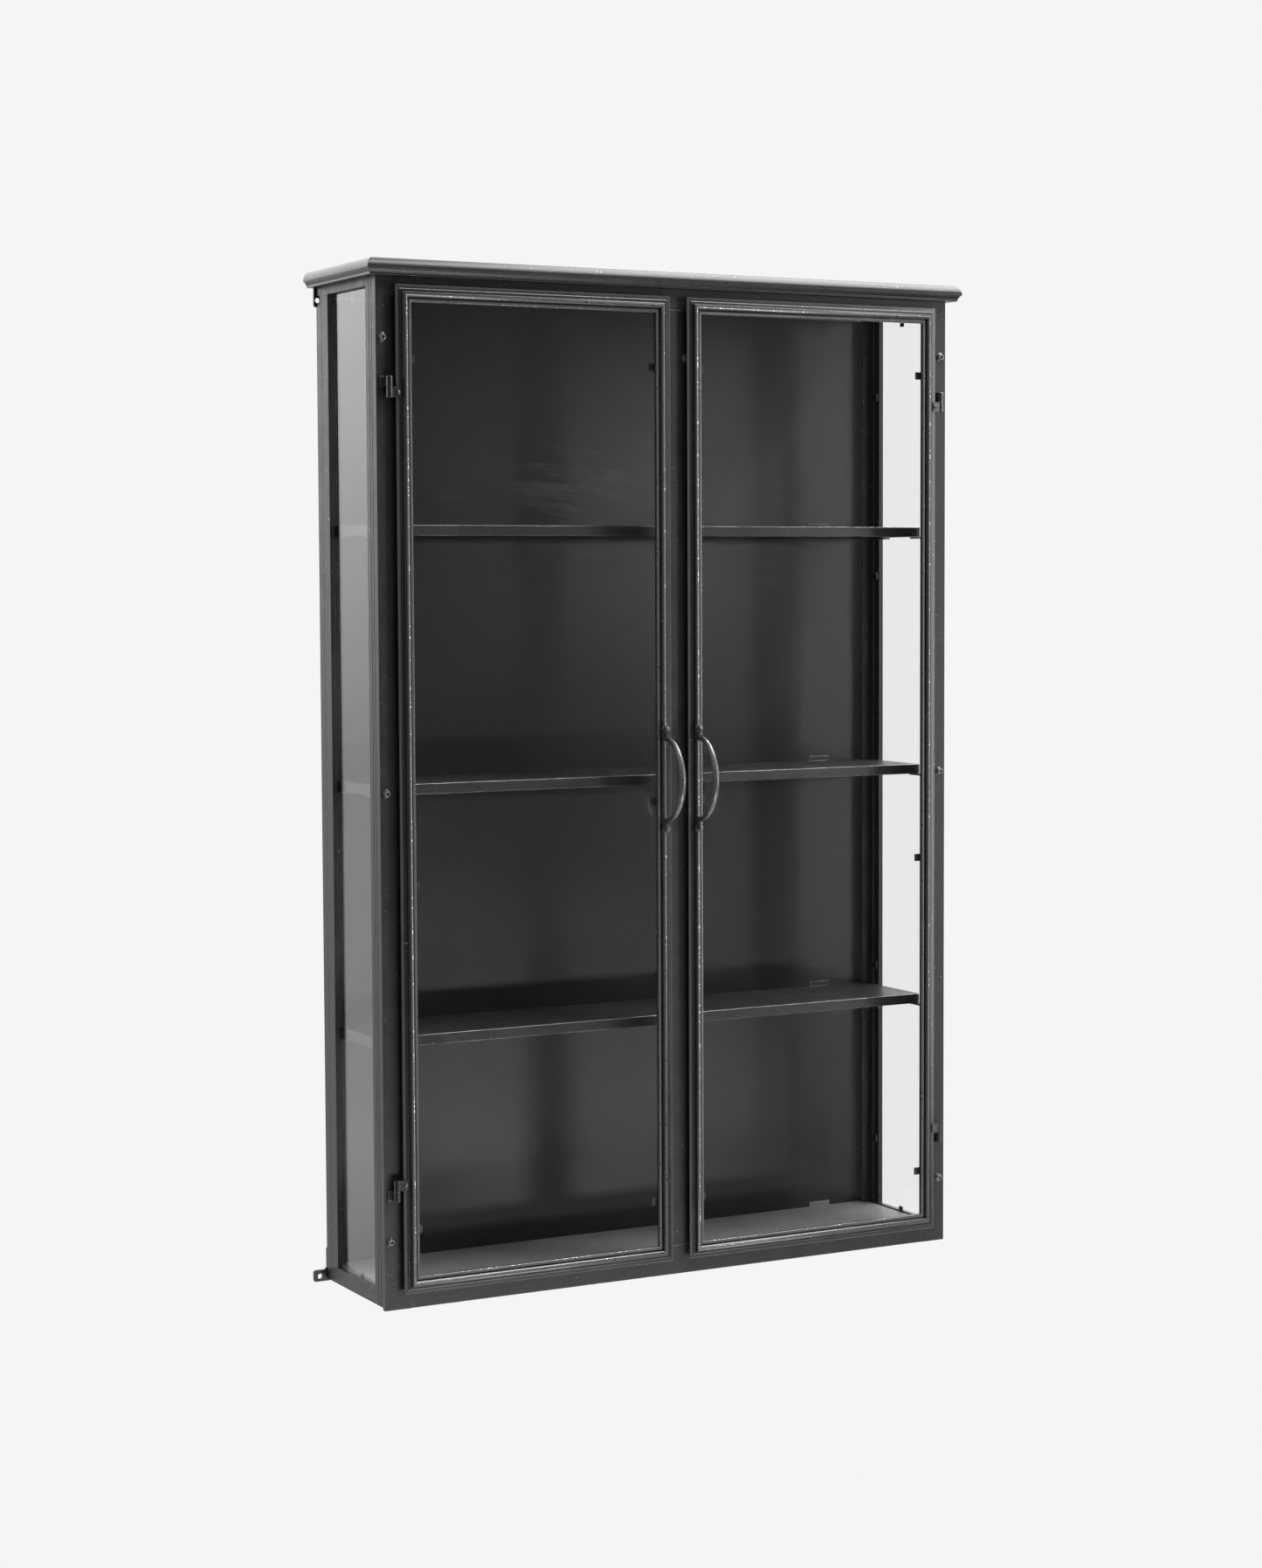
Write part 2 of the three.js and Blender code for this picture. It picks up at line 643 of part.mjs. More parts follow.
// A folded sheet: a flat top notched around the rear posts, lips along its front and ends, and two tabs
// that stand against the back panel.
function foldedSheet(level, lip, frontEdge, frontHalf) {
  const backEdge = backPanelFront - sheetClearance;
  const stileBack = sideFront + sideLegDepth + sheetClearance;
  const notchFront = sideBack - sheetClearance;
  const besideStiles = [[frontHalf, frontEdge], [frontHalf, stileBack], [shelfHalf, stileBack]];
  const rightSide = [
    ...(frontHalf < shelfHalf ? besideStiles : [[shelfHalf, frontEdge]]),
    [shelfHalf, notchFront],
    [rearRailHalf, notchFront],
    [rearRailHalf, backEdge],
  ];
  const leftSide = rightSide.map(([x, y]) => [-x, y]).reverse();
  const flat = (along, x, y) => new THREE.Vector3(x, y, along);
  const top = bar([...rightSide, ...leftSide], [level - panelSheet, 0], [level, 0], flat);
  const sideLipFront = frontHalf < shelfHalf ? stileBack : frontEdge + panelSheet;
  const lipSpan = [level - lip, level - panelSheet / 2];
  const folds = [block([-frontHalf, frontHalf], [frontEdge, frontEdge + panelSheet], lipSpan)];
  for (const side of Object.values(SIDES)) {
    const sideLip = across(side, shelfHalf - panelSheet, shelfHalf);
    folds.push(block(sideLip, [sideLipFront, notchFront - sheetClearance], lipSpan));
    folds.push(block(
      across(side, backTabMiddle - backTabWidth / 2, backTabMiddle + backTabWidth / 2),
      [backEdge - panelSheet, backEdge],
      [level - panelSheet / 2, level + backTabHeight],
    ));
  }
  return join(top, ...folds);
}

function shelvesAndFloor() {
  const shelfFront = front + shelfSetback;
  const pieces = Object.entries(shelfLevels).map(([row, level]) => (
    piece(`shelf_${row}`, foldedSheet(level, shelfLip, shelfFront, shelfHalf), 'sheet')
  ));
  const betweenStiles = halfBody - sideFrontLegThickness - sheetClearance;
  const floor = foldedSheet(bottomPanelLevel, bottomPanelLip, sideFront + sheetClearance, betweenStiles);
  pieces.push(piece('bottom_panel', floor, 'sheet'));
  return pieces;
}

// ---------------------------------------------------------------- doors

// The door moulding as [from the outer edge, in front of the face frame].
function mouldOutline() {
  const bead = [];
  const steps = 8;
  for (let i = 0; i <= steps; i += 1) {
    const angle = Math.PI * (1 - i / steps);
    bead.push([beadCentre + beadRadius * Math.cos(angle), beadRise + beadRadius * Math.sin(angle)]);
  }
  const glassFace = glassBack + glassThickness + doorGlassClearance;
  return [
    [mouldFlange, doorStandoff],
    [mouldFlange, flangeTop - flangeSheet],
    [0.3, flangeTop - flangeSheet],
    [0, flangeTop - flangeSheet + 0.3],
    [0, flangeTop - 0.5],
    [0.5, flangeTop],
    [4.6, flangeTop],
    [5.3, lipTop],
    [beadCentre - beadRadius - 0.4, lipTop],
    ...bead,
    [beadCentre + beadRadius, lipTop - 1.3],
    [mouldWidth - lipWidth, lipTop - 1.3],
    [mouldWidth - lipWidth, lipTop],
    [mouldWidth - 0.7, lipTop],
    [mouldWidth, lipTop - 0.7],
    [mouldWidth, glassFace],
    [mouldWidth - rebateWidth, glassFace],
    [mouldWidth - rebateWidth, doorStandoff],
  ];
}

function door(label, side) {
  const outerX = halfBody - doorSideMargin;
  const middleX = outerX - doorWidth / 2;
  const middleZ = (doorBottom + doorTop) / 2;
  const halfWidth = doorWidth / 2;
  const halfHeight = (doorTop - doorBottom) / 2;
  const outline = mouldOutline();
  const clip = ([a0, a1], [b0, b1], frame) => {
    const outlineOfClip = [[a0, b0], [a1, b0], [a1, b1], [a0, b1]];
    const depth = [clipBack, clipBack + clipSheet];
    return bar(outlineOfClip, [depth[0], 0], [depth[1], 0], (out, a, b) => frame(a, b, out));
  };

  // Each bar is drawn along its own length; in and out are measured from the door's edge and face frame.
  const edges = {
    hinge_side: { half: halfHeight, at: (s, u, h) => [outerX - u, s + middleZ, h] },
    pull_side: { half: halfHeight, at: (s, u, h) => [outerX - doorWidth + u, s + middleZ, h] },
    top: { half: halfWidth, at: (s, u, h) => [middleX + s, doorTop - u, h] },
    bottom: { half: halfWidth, at: (s, u, h) => [middleX + s, doorBottom + u, h] },
  };
  const clipPlaces = {
    hinge_side: doorClips.hingeSide.map((level) => level - middleZ),
    pull_side: doorClips.pullSide.map((level) => level - middleZ),
    top: [],
    bottom: [],
  };
  const pieces = Object.entries(edges).map(([edge, { half, at }]) => {
    const place = (s, u, h) => {
      const [x, z, out] = at(s, u, h);
      return new THREE.Vector3(side * x, front - out, z);
    };
    const rail = bar(outline, [-half, 1], [half, -1], place);
    const clips = clipPlaces[edge].map((s) => clip(
      [s - clipHeight / 2, s + clipHeight / 2],
      [mouldFlange + 1, mouldWidth + clipReach],
      place,
    ));
    return piece(`door_${label}_${edge}`, join(rail, ...clips), 'paint');
  });

  const paneInset = mouldWidth - rebateWidth + doorGlassClearance;
  const pane = block(
    across(side, outerX - doorWidth + paneInset, outerX - paneInset),
    [front - glassBack - glassThickness, front - glassBack],
    [doorBottom + paneInset, doorTop - paneInset],
  );
  pieces.push(piece(`door_${label}_glass`, pane, 'glass'));
  pieces.push(piece(`door_${label}_handle`, handle(side * (outerX - doorWidth + beadCentre)), 'iron'));
  return pieces;
}

// A cast bow handle: an elliptical arch between two screw eyes that sit on the bead.
function handle(x) {
  const rootY = front - beadTop - eyeThickness / 2;
  const reach = handleReach - eyeThickness / 2 - handleHalfDepth;
  const steps = 16;
  const sides = 10;
  const rings = [];
  for (let i = 0; i <= steps; i += 1) {
    const turn = Math.PI * i / steps;
    const centre = new THREE.Vector3(
      x,
      rootY - reach * Math.sin(turn),
      handleMiddle + (handleArchSpan / 2) * Math.cos(turn),
    );
    const outwards = new THREE.Vector3(
      0,
      -(handleArchSpan / 2) * Math.sin(turn),
      reach * Math.cos(turn),
    ).normalize();
    const size = handleTaper + (1 - handleTaper) * Math.sin(turn);
    rings.push(Array.from({ length: sides }, (_, k) => {
      const angle = 2 * Math.PI * k / sides;
      const sideways = new THREE.Vector3(handleHalfWidth * size * Math.cos(angle), 0, 0);
      return centre.clone().add(sideways).addScaledVector(outwards, handleHalfDepth * size * Math.sin(angle));
    }));
  }
  const circle = Array.from({ length: sides }, (_, k) => {
    const angle = 2 * Math.PI * k / sides;
    return [Math.cos(angle), Math.sin(angle)];
  });
  const arch = loft(rings, circle);
  const eyeDepth = [front - beadTop - eyeThickness, front - beadTop];
  const feet = [-1, 1].flatMap((end) => {
    const eye = rodAlongY(eyeRadius, eyeDepth, x, handleMiddle + end * handleSpan / 2, 16);
    const neckSpan = [handleArchSpan / 2 - handleHalfDepth, handleSpan / 2];
    const neckEnds = neckSpan.map((z) => handleMiddle + end * z);
    const neck = block(
      [x - handleTaper * handleHalfWidth, x + handleTaper * handleHalfWidth],
      eyeDepth,
      neckEnds.sort((p, q) => p - q),
    );
    return [eye, neck];
  });
  return join(arch, ...feet);
}

// ---------------------------------------------------------------- hinges

// Each hinge is a fixed half welded to the face frame, carrying the pin, and a door half with an ear.
// The upper pair hangs its pins down and the lower pair stands them up, so the door is held between them.
function hinges(side, label) {
  const axisX = side * (halfBody - hingeInset);
  const axisY = front - hingeRise;
  const fixed = [];
  const moving = [];
  for (const [row, middle] of Object.entries(hingeMiddles)) {
    const up = row === 'upper' ? 1 : -1;
    const span = (from, to) => [middle + up * from, middle + up * to].sort((p, q) => p - q);
    const fixedSpan = span(knuckleGap / 2, knuckleHeight);
    const movingSpan = span(-knuckleGap / 2, -knuckleHeight);

    const knuckle = rodAlongZ(knuckleRadius, fixedSpan, axisX, axisY);
    const web = block([axisX - knuckleRadius, axisX + knuckleRadius], [axisY, front], fixedSpan);
    const footInner = halfBody - hingeInset - knuckleRadius;
    const footSpan = across(side, footInner, footInner + hingeFootWidth);
    const foot = block(footSpan, [front - hingeFootThickness, front], fixedSpan);
    const pin = rodAlongZ(hingePinRadius, span(knuckleHeight / 2, -knuckleHeight + 1), axisX, axisY);
    fixed.push(piece(`hinge_${row}_${label}_fixed`, join(knuckle, web, foot, pin), 'iron'));

    const bore = rodAlongZ(hingePinRadius + hingePinPlay, span(1, -knuckleHeight - 1), axisX, axisY);
    const sleeve = rodAlongZ(knuckleRadius, movingSpan, axisX, axisY);
    const ear = block(
      across(side, halfBody - hingeInset, halfBody - doorSideMargin - hingeEarLap),
      [front - flangeTop - hingeEarThickness, front - flangeTop],
      movingSpan,
    );
    moving.push(piece(`hinge_${row}_${label}_door`, cut(join(sleeve, ear), bore), 'iron'));
  }
  return { fixed, moving };
}

// ---------------------------------------------------------------- assembly

const showcase = new THREE.Group();
const parts = new THREE.Group();
parts.position.z = -(frameTop - rearTopRailHeight / 2);
parts.add(...faceFrame(), ...frameScrews(), ...sideFrames(), ...rearFrame(), ...wallLugs());
parts.add(...cornice(), ...shelvesAndFloor());
for (const [label, side] of Object.entries(SIDES)) {
  const { fixed, moving } = hinges(side, label);
  parts.add(...fixed);
  parts.add(...door(label, side), ...moving);
}
showcase.add(parts);

export default showcase;
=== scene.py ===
"""Wall showcase: the visual model, built piece by piece around the fixed frame."""
import math

import bmesh
import bpy
from bpy.props import FloatProperty, FloatVectorProperty, IntProperty, PointerProperty
from mathutils import Euler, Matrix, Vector


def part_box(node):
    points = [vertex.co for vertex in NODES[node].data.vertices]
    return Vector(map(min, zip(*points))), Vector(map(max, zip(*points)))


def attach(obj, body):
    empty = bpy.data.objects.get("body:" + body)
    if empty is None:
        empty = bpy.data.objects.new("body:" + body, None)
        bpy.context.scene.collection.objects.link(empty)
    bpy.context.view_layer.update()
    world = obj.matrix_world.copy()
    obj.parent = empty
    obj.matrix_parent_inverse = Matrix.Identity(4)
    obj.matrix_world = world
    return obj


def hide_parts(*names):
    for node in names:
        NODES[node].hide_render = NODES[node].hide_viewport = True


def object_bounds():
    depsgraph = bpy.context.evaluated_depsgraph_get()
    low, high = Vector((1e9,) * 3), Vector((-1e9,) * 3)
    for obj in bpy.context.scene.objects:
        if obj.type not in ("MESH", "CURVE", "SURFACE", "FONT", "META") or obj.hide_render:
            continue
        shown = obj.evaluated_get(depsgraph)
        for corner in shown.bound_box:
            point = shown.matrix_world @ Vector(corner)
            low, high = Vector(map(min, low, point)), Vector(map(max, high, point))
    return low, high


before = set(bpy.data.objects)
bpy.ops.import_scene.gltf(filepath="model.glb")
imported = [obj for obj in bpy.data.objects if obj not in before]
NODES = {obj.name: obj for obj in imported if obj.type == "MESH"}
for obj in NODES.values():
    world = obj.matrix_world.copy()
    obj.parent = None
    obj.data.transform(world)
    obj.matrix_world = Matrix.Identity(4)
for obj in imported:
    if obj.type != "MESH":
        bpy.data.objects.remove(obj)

bl_info = {
    "name": "Wall showcase",
    "version": (1, 0, 0),
    "blender": (4, 5, 0),
    "location": "View3D > Sidebar > Showcase",
    "description": "Black steel wall showcase with glazed sides and a pair of glass doors",
    "category": "Object",
}

CAD_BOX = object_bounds()
SIDES = {"left": -1, "right": 1}
EDGE_WEAR = "edge_wear"
TURN = "turn"


# ---------------------------------------------------------------- sizes and colours

def length(name, description, default):
    return FloatProperty(
        name=name, description=description, default=default, unit="LENGTH", subtype="DISTANCE")


def colour(name, description, default):
    return FloatVectorProperty(
        name=name, description=description, default=default, subtype="COLOR", size=3, min=0, max=1)


def power(name, description, default):
    return FloatProperty(name=name, description=description, default=default, unit="POWER")


class ShowcaseSizes(bpy.types.PropertyGroup):
    """Sizes of what the frame's plain solids don't show."""
    edge_round: length(
        "Edge rounding", "Rounding of the steel bars' edges", 0.0007)
    sheet_round: length(
        "Sheet rounding", "Rounding of the folded sheets' edges", 0.0004)
    flange: length(
        "Door flange", "Thin outer flange of the door moulding, before its back", 0.008)
    moulding: length(
        "Moulding width", "Door's outer edge to its sight edge", 0.0195)
    bead_radius: length(
        "Bead radius", "Half-round bead of the door moulding", 0.0035)
    bead_middle: length(
        "Bead middle", "Middle of the bead from the door's outer edge", 0.0113)
    bow_span: length(
        "Bow span", "Height of a handle's bow between its roots", 0.098)
    eye_radius: length(
        "Eye radius", "Round foot under each handle screw", 0.0055)
    bow_width: length(
        "Bow thickness", "Half of the bow's thickness at its middle", 0.0039)


class ShowcaseFinish(bpy.types.PropertyGroup):
    """Colours and wear of the finishes."""
    paint: colour(
        "Paint", "Black satin paint of the steel bars", (0.028, 0.028, 0.029))
    # black paint made darker still as painted shade: the back panel's colour stands in for the shade
    # inside the case
    sheet: colour(
        "Sheet", "Black satin paint of the sheet panels", (0.006, 0.0057, 0.0063))
    shelf: colour(
        "Shelves", "Satin paint of the shelves, greyed by use", (0.03, 0.03, 0.031))
    # painted light: the bottom panel's paint is set far paler than the other sheets to stand in for the
    # light that falls on its top
    floor: colour(
        "Floor", "Satin paint of the bottom panel, the palest of the sheets", (0.27, 0.27, 0.273))
    iron: colour(
        "Iron", "Blackened iron of handles, hinges and screws", (0.022, 0.022, 0.023))
    bare: colour(
        "Bare steel", "Steel where the paint has rubbed off", (0.56, 0.56, 0.56))
    glass: colour(
        "Glass", "Tint of the clear panes", (0.985, 0.987, 0.987))
    seed: IntProperty(
        name="Turn seed", description="Seed for how far each screw has been turned", default=7)


class ShowcaseStudio(bpy.types.PropertyGroup):
    """Studio light and backdrop."""
    backdrop: FloatProperty(
        name="Backdrop", description="Brightness of the plain backdrop", default=0.915)
    overhead: power(
        "Overhead box", "Power of the soft box above the front", 85.0)
    side: power(
        "Side box", "Power of the tall soft box on the right", 30.0)
    low: power(
        "Low box", "Power of the soft box low in front", 27.0)
    glow: power(
        "Glow lamps", "Power of the two lamps that reach only the back panel", 3.8)
    patch: power(
        "Patch lamp", "Power of the lamp high on the right that rakes the back panel", 150.0)
    through: FloatProperty(
        name="Backdrop through glass", description="How much brighter the backdrop is behind the panes",
        default=1.14)


# ---------------------------------------------------------------- shared shader groups

def new_group(name, inputs, outputs, kind="ShaderNodeTree"):
    """An empty group with named sockets; inputs are (name, kind, default)."""
    tree = bpy.data.node_groups.new(name, kind)
    for label, socket_kind, default in inputs:
        socket = tree.interface.new_socket(
            label, in_out="INPUT", socket_type=f"NodeSocket{socket_kind}")
        if default is not None:
            socket.default_value = default
    for label, socket_kind in outputs:
        tree.interface.new_socket(label, in_out="OUTPUT", socket_type=f"NodeSocket{socket_kind}")
    return tree, tree.nodes.new("NodeGroupInput"), tree.nodes.new("NodeGroupOutput")


def plug(tree, source, target):
    tree.links.new(source, target)


def fill_inputs(tree, node, inputs):
    """Gives each input its value, or a link where it is given another node's socket."""
    for label, value in inputs.items():
        if isinstance(value, bpy.types.NodeSocket):
            plug(tree, value, node.inputs[label])
        else:
            node.inputs[label].default_value = value


def add_node(tree, kind, inputs=None, **settings):
    node = tree.nodes.new(kind)
    for name, value in settings.items():
        setattr(node, name, value)
    fill_inputs(tree, node, inputs or {})
    return node


def noise(tree, vector, scale, detail=3.0, roughness=0.55, squash=None):
    """A noise value over the surface; squash stretches the pattern along an axis."""
    if squash is not None:
        mapping = add_node(tree, "ShaderNodeMapping", {"Scale": squash, "Vector": vector})
        vector = mapping.outputs["Vector"]
    return add_node(tree, "ShaderNodeTexNoise", {
        "Scale": scale, "Detail": detail, "Roughness": roughness, "Vector": vector}).outputs["Fac"]


def ramp(tree, value, low, high, to_low=0.0, to_high=1.0):
    """Smoothly maps value from low..high to to_low..to_high."""
    return add_node(tree, "ShaderNodeMapRange", {
        "From Min": low, "From Max": high, "To Min": to_low, "To Max": to_high, "Value": value,
    }, interpolation_type="SMOOTHSTEP").outputs["Result"]


def maths(tree, operation, first, second, clamp=False):
    node = add_node(tree, "ShaderNodeMath", {0: first, 1: second},
                    operation=operation, use_clamp=clamp)
    return node.outputs[0]


def blend_colour(tree, factor, first, second, kind="MIX"):
    node = add_node(tree, "ShaderNodeMix", {0: factor, 6: first, 7: second},
                    data_type="RGBA", blend_type=kind)
    return node.outputs[2]


def toned_paint(tree, paint, tone):
    """The paint made a little darker or lighter by a tone around 1."""
    shade = add_node(tree, "ShaderNodeCombineColor", {0: tone, 1: tone, 2: tone})
    return blend_colour(tree, 1.0, paint, shade.outputs[0], "MULTIPLY")


def worn_paint_group():
    """Brushed satin paint with rubbed edges: colour, bare mask, roughness and height."""
    tree, given, result = new_group(
        "worn paint",
        [("Vector", "Vector", None), ("Paint", "Color", (0.03, 0.03, 0.03, 1)),
         ("Bare", "Color", (0.56, 0.56, 0.56, 1)), ("Edge", "Float", 0.0),
         ("Wear", "Float", 1.0), ("Roughness", "Float", 0.42), ("Mottle", "Float", 0.3)],
        [("Color", "Color"), ("Bare mask", "Float"), ("Roughness", "Float"), ("Height", "Float")])
    vector = given.outputs["Vector"]
    cloud = noise(tree, vector, 7.0, 3.0)
    patch = noise(tree, vector, 42.0, 4.0, 0.6)
    chip = noise(tree, vector, 380.0, 3.0, 0.6)
    pit = noise(tree, vector, 700.0, 2.0, 0.5)
    # rubbed metal: where the edge mask is high and the noises agree, and a few stray nicks elsewhere
    along = ramp(tree, patch, 0.36, 0.6, 0.35, 1.0)
    rub = maths(tree, "MULTIPLY", given.outputs["Edge"], given.outputs["Wear"])
    reach = maths(tree, "MULTIPLY", rub, along)
    level = maths(tree, "ADD", chip, maths(tree, "MULTIPLY", reach, 0.2))
    rubbed = ramp(tree, level, 0.69, 0.75)
    stray = ramp(tree, noise(tree, vector, 130.0, 1.0, 0.4), 0.8, 0.83)
    sheen = maths(tree, "MULTIPLY", maths(tree, "MINIMUM", rub, 2.0), 0.36)
    nicks = maths(tree, "MULTIPLY", stray, 0.5)
    bare = maths(tree, "MAXIMUM", maths(tree, "MAXIMUM", rubbed, sheen), nicks)
    tone = ramp(tree, cloud, 0.25, 0.75, 0.9, 1.12)
    fine = ramp(tree, patch, 0.3, 0.7, 0.95, 1.06)
    toned = toned_paint(tree, given.outputs["Paint"], maths(tree, "MULTIPLY", tone, fine))
    # paint rubbed thin is a lighter grey before it is bare
    thin = maths(tree, "MULTIPLY", maths(tree, "MINIMUM", reach, 1.0), 0.05)
    thinned = blend_colour(tree, thin, toned, given.outputs["Bare"])
    plug(tree, blend_colour(tree, bare, thinned, given.outputs["Bare"]), result.inputs["Color"])
    plug(tree, bare, result.inputs["Bare mask"])
    mottled = maths(tree, "MULTIPLY", maths(tree, "SUBTRACT", patch, 0.5), given.outputs["Mottle"])
    rough = maths(tree, "ADD", given.outputs["Roughness"], mottled)
    rough = maths(tree, "SUBTRACT", rough, maths(tree, "MULTIPLY", bare, 0.1), clamp=True)
    plug(tree, rough, result.inputs["Roughness"])
    height = maths(tree, "ADD", maths(tree, "MULTIPLY", chip, 0.7), maths(tree, "MULTIPLY", pit, 0.3))
    height = maths(tree, "SUBTRACT", height, maths(tree, "MULTIPLY", bare, 0.25))
    plug(tree, height, result.inputs["Height"])
    return tree


# tilt and size of the lighter strokes painted on the back panel as a glow of reflected light
GLOW_STROKE_TILT = (0, math.radians(-9), 0)
# per metre; the depth counts for so much that only one face of the sheet shows the painted glow strokes
GLOW_STROKE_SCALE = (9.5, 900.0, 16.0)


def glow_painted_sheet_group():
    """Satin sheet: clouds in tone and gloss, faint streaks, specks of dust, and two lighter strokes
    that paint in a glow of reflected light.
    """
    tree, given, result = new_group(
        "wiped sheet",
        [("Vector", "Vector", None), ("Paint", "Color", (0.02, 0.02, 0.02, 1)),
         ("Roughness", "Float", 0.5), ("Streaks", "Float", 0.5), ("Mark", "Vector", None)],
        [("Color", "Color"), ("Roughness", "Float"), ("Height", "Float")])
    vector = given.outputs["Vector"]
    cloud = noise(tree, vector, 5.5, 3.0)
    wisp = noise(tree, vector, 7.0, 5.0, 0.6, squash=(0.8, 1.0, 4.0))
    speck = noise(tree, vector, 150.0, 2.0, 0.5)
    streaks_and_glow = maths(tree, "MULTIPLY", ramp(tree, wisp, 0.6, 0.78), given.outputs["Streaks"])
    # two lighter strokes around the mark: painted light, a glow of reflected light painted into the
    # colour
    offset = add_node(tree, "ShaderNodeVectorMath", {0: vector, 1: given.outputs["Mark"]},
                      operation="SUBTRACT")
    tilt = add_node(tree, "ShaderNodeMapping", {
        "Rotation": GLOW_STROKE_TILT, "Scale": GLOW_STROKE_SCALE, "Vector": offset.outputs[0]})
    far = add_node(tree, "ShaderNodeVectorMath", {0: tilt.outputs[0]}, operation="LENGTH")
    near = ramp(tree, far.outputs["Value"], 1.0, 0.35)
    painted_glow = noise(tree, tilt.outputs[0], 1.3, 5.0, 0.65, squash=(0.5, 0.0, 2.6))
    painted_glow = maths(tree, "MULTIPLY", ramp(tree, painted_glow, 0.46, 0.66), near)
    streaks_and_glow = maths(tree, "ADD", streaks_and_glow, painted_glow)
    dust = ramp(tree, speck, 0.80, 0.84, 0.0, 0.12)
    # lift lightens the paint by the streaks, the dust and the painted glow
    lift = maths(tree, "ADD", maths(tree, "MULTIPLY", streaks_and_glow, 0.12), maths(tree, "MULTIPLY", dust, 0.6))
    tone = ramp(tree, cloud, 0.25, 0.75, 0.88, 1.14)
    toned = toned_paint(tree, given.outputs["Paint"], tone)
    plug(tree, blend_colour(tree, lift, toned, (0.6, 0.6, 0.6, 1)), result.inputs["Color"])
    clouded = maths(tree, "MULTIPLY", maths(tree, "SUBTRACT", cloud, 0.5), 0.12)
    rough = maths(tree, "ADD", given.outputs["Roughness"], clouded, clamp=True)
    plug(tree, rough, result.inputs["Roughness"])
    plug(tree, maths(tree, "ADD", maths(tree, "MULTIPLY", speck, 0.1), cloud), result.inputs["Height"])
    return tree


GROUPS = {}


def shared(name):
    makers = {"worn paint": worn_paint_group, "wiped sheet": glow_painted_sheet_group}
    if name not in GROUPS:
        GROUPS[name] = makers[name]()
    return GROUPS[name]


def start_material(name):
    """A material with a Principled shader, and the object coordinates its patterns read."""
    material = bpy.data.materials.new(name)
    material.use_nodes = True
    tree = material.node_tree
    shader = tree.nodes["Principled BSDF"]
    place = tree.nodes.new("ShaderNodeTexCoord")
    return material, tree, shader, place.outputs["Object"]


def add_bump(tree, shader, height, strength, distance):
    bump = add_node(tree, "ShaderNodeBump", {
        "Strength": strength, "Distance": distance, "Height": height})
    plug(tree, bump.outputs["Normal"], shader.inputs["Normal"])


def worn_material(name, paint, roughness, wear, hammer, specular=0.5, coat=0.0, mottle=0.3):
    material, tree, shader, vector = start_material(name)
    bare = bpy.context.scene.showcase_finish.bare
    edge = add_node(tree, "ShaderNodeAttribute", attribute_name=EDGE_WEAR)
    group = add_node(tree, "ShaderNodeGroup", {
        "Vector": vector, "Paint": (*paint, 1), "Bare": (*bare, 1), "Edge": edge.outputs["Fac"],
        "Wear": wear, "Roughness": roughness, "Mottle": mottle}, node_tree=shared("worn paint"))
    fill_inputs(tree, shader, {
        "Base Color": group.outputs["Color"], "Metallic": group.outputs["Bare mask"],
        "Roughness": group.outputs["Roughness"], "Specular IOR Level": specular,
        "Coat Weight": coat, "Coat Roughness": 0.25})
    add_bump(tree, shader, group.outputs["Height"], hammer, 0.0006)
    return material


def sheet_material(name, paint, roughness, streaks):
    material, tree, shader, vector = start_material(name)
    group = add_node(tree, "ShaderNodeGroup", {
        "Vector": vector, "Paint": (*paint, 1), "Roughness": roughness, "Streaks": streaks,
        "Mark": PAINTED_GLOW_PLACE}, node_tree=shared("wiped sheet"))
    fill_inputs(tree, shader, {
        "Base Color": group.outputs["Color"], "Roughness": group.outputs["Roughness"],
        "Specular IOR Level": 0.5})
    add_bump(tree, shader, group.outputs["Height"], 0.08, 0.0012)
    return material


def glass_material(name, dusty):
    """Clear float glass. Light passes straight through it, so what stands behind is lit."""
    material, tree, shader, vector = start_material(name)
    smear = ramp(tree, noise(tree, vector, 12.0, 4.0, 0.6), 0.55, 0.8, 0.0, dusty)
    fill_inputs(tree, shader, {
        "Base Color": (*bpy.context.scene.showcase_finish.glass, 1), "Metallic": 0.0,
        "Transmission Weight": 1.0, "IOR": 1.5, "Roughness": smear})
    through = add_node(tree, "ShaderNodeBsdfTransparent", {"Color": (0.94, 0.94, 0.94, 1)})
    rays = tree.nodes.new("ShaderNodeLightPath")
    either = maths(tree, "MAXIMUM", rays.outputs["Is Shadow Ray"], rays.outputs["Is Diffuse Ray"])
    mix = add_node(tree, "ShaderNodeMixShader", {
        "Fac": either, 1: shader.outputs["BSDF"], 2: through.outputs["BSDF"]})
    plug(tree, mix.outputs["Shader"], tree.nodes["Material Output"].inputs["Surface"])
    return material


# where a glow of reflected light is painted as two lighter strokes, on the inside of the back panel
# only
PAINTED_GLOW_PLACE = (-0.05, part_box("back_panel")[0].y, -0.22)
MATERIALS = {}


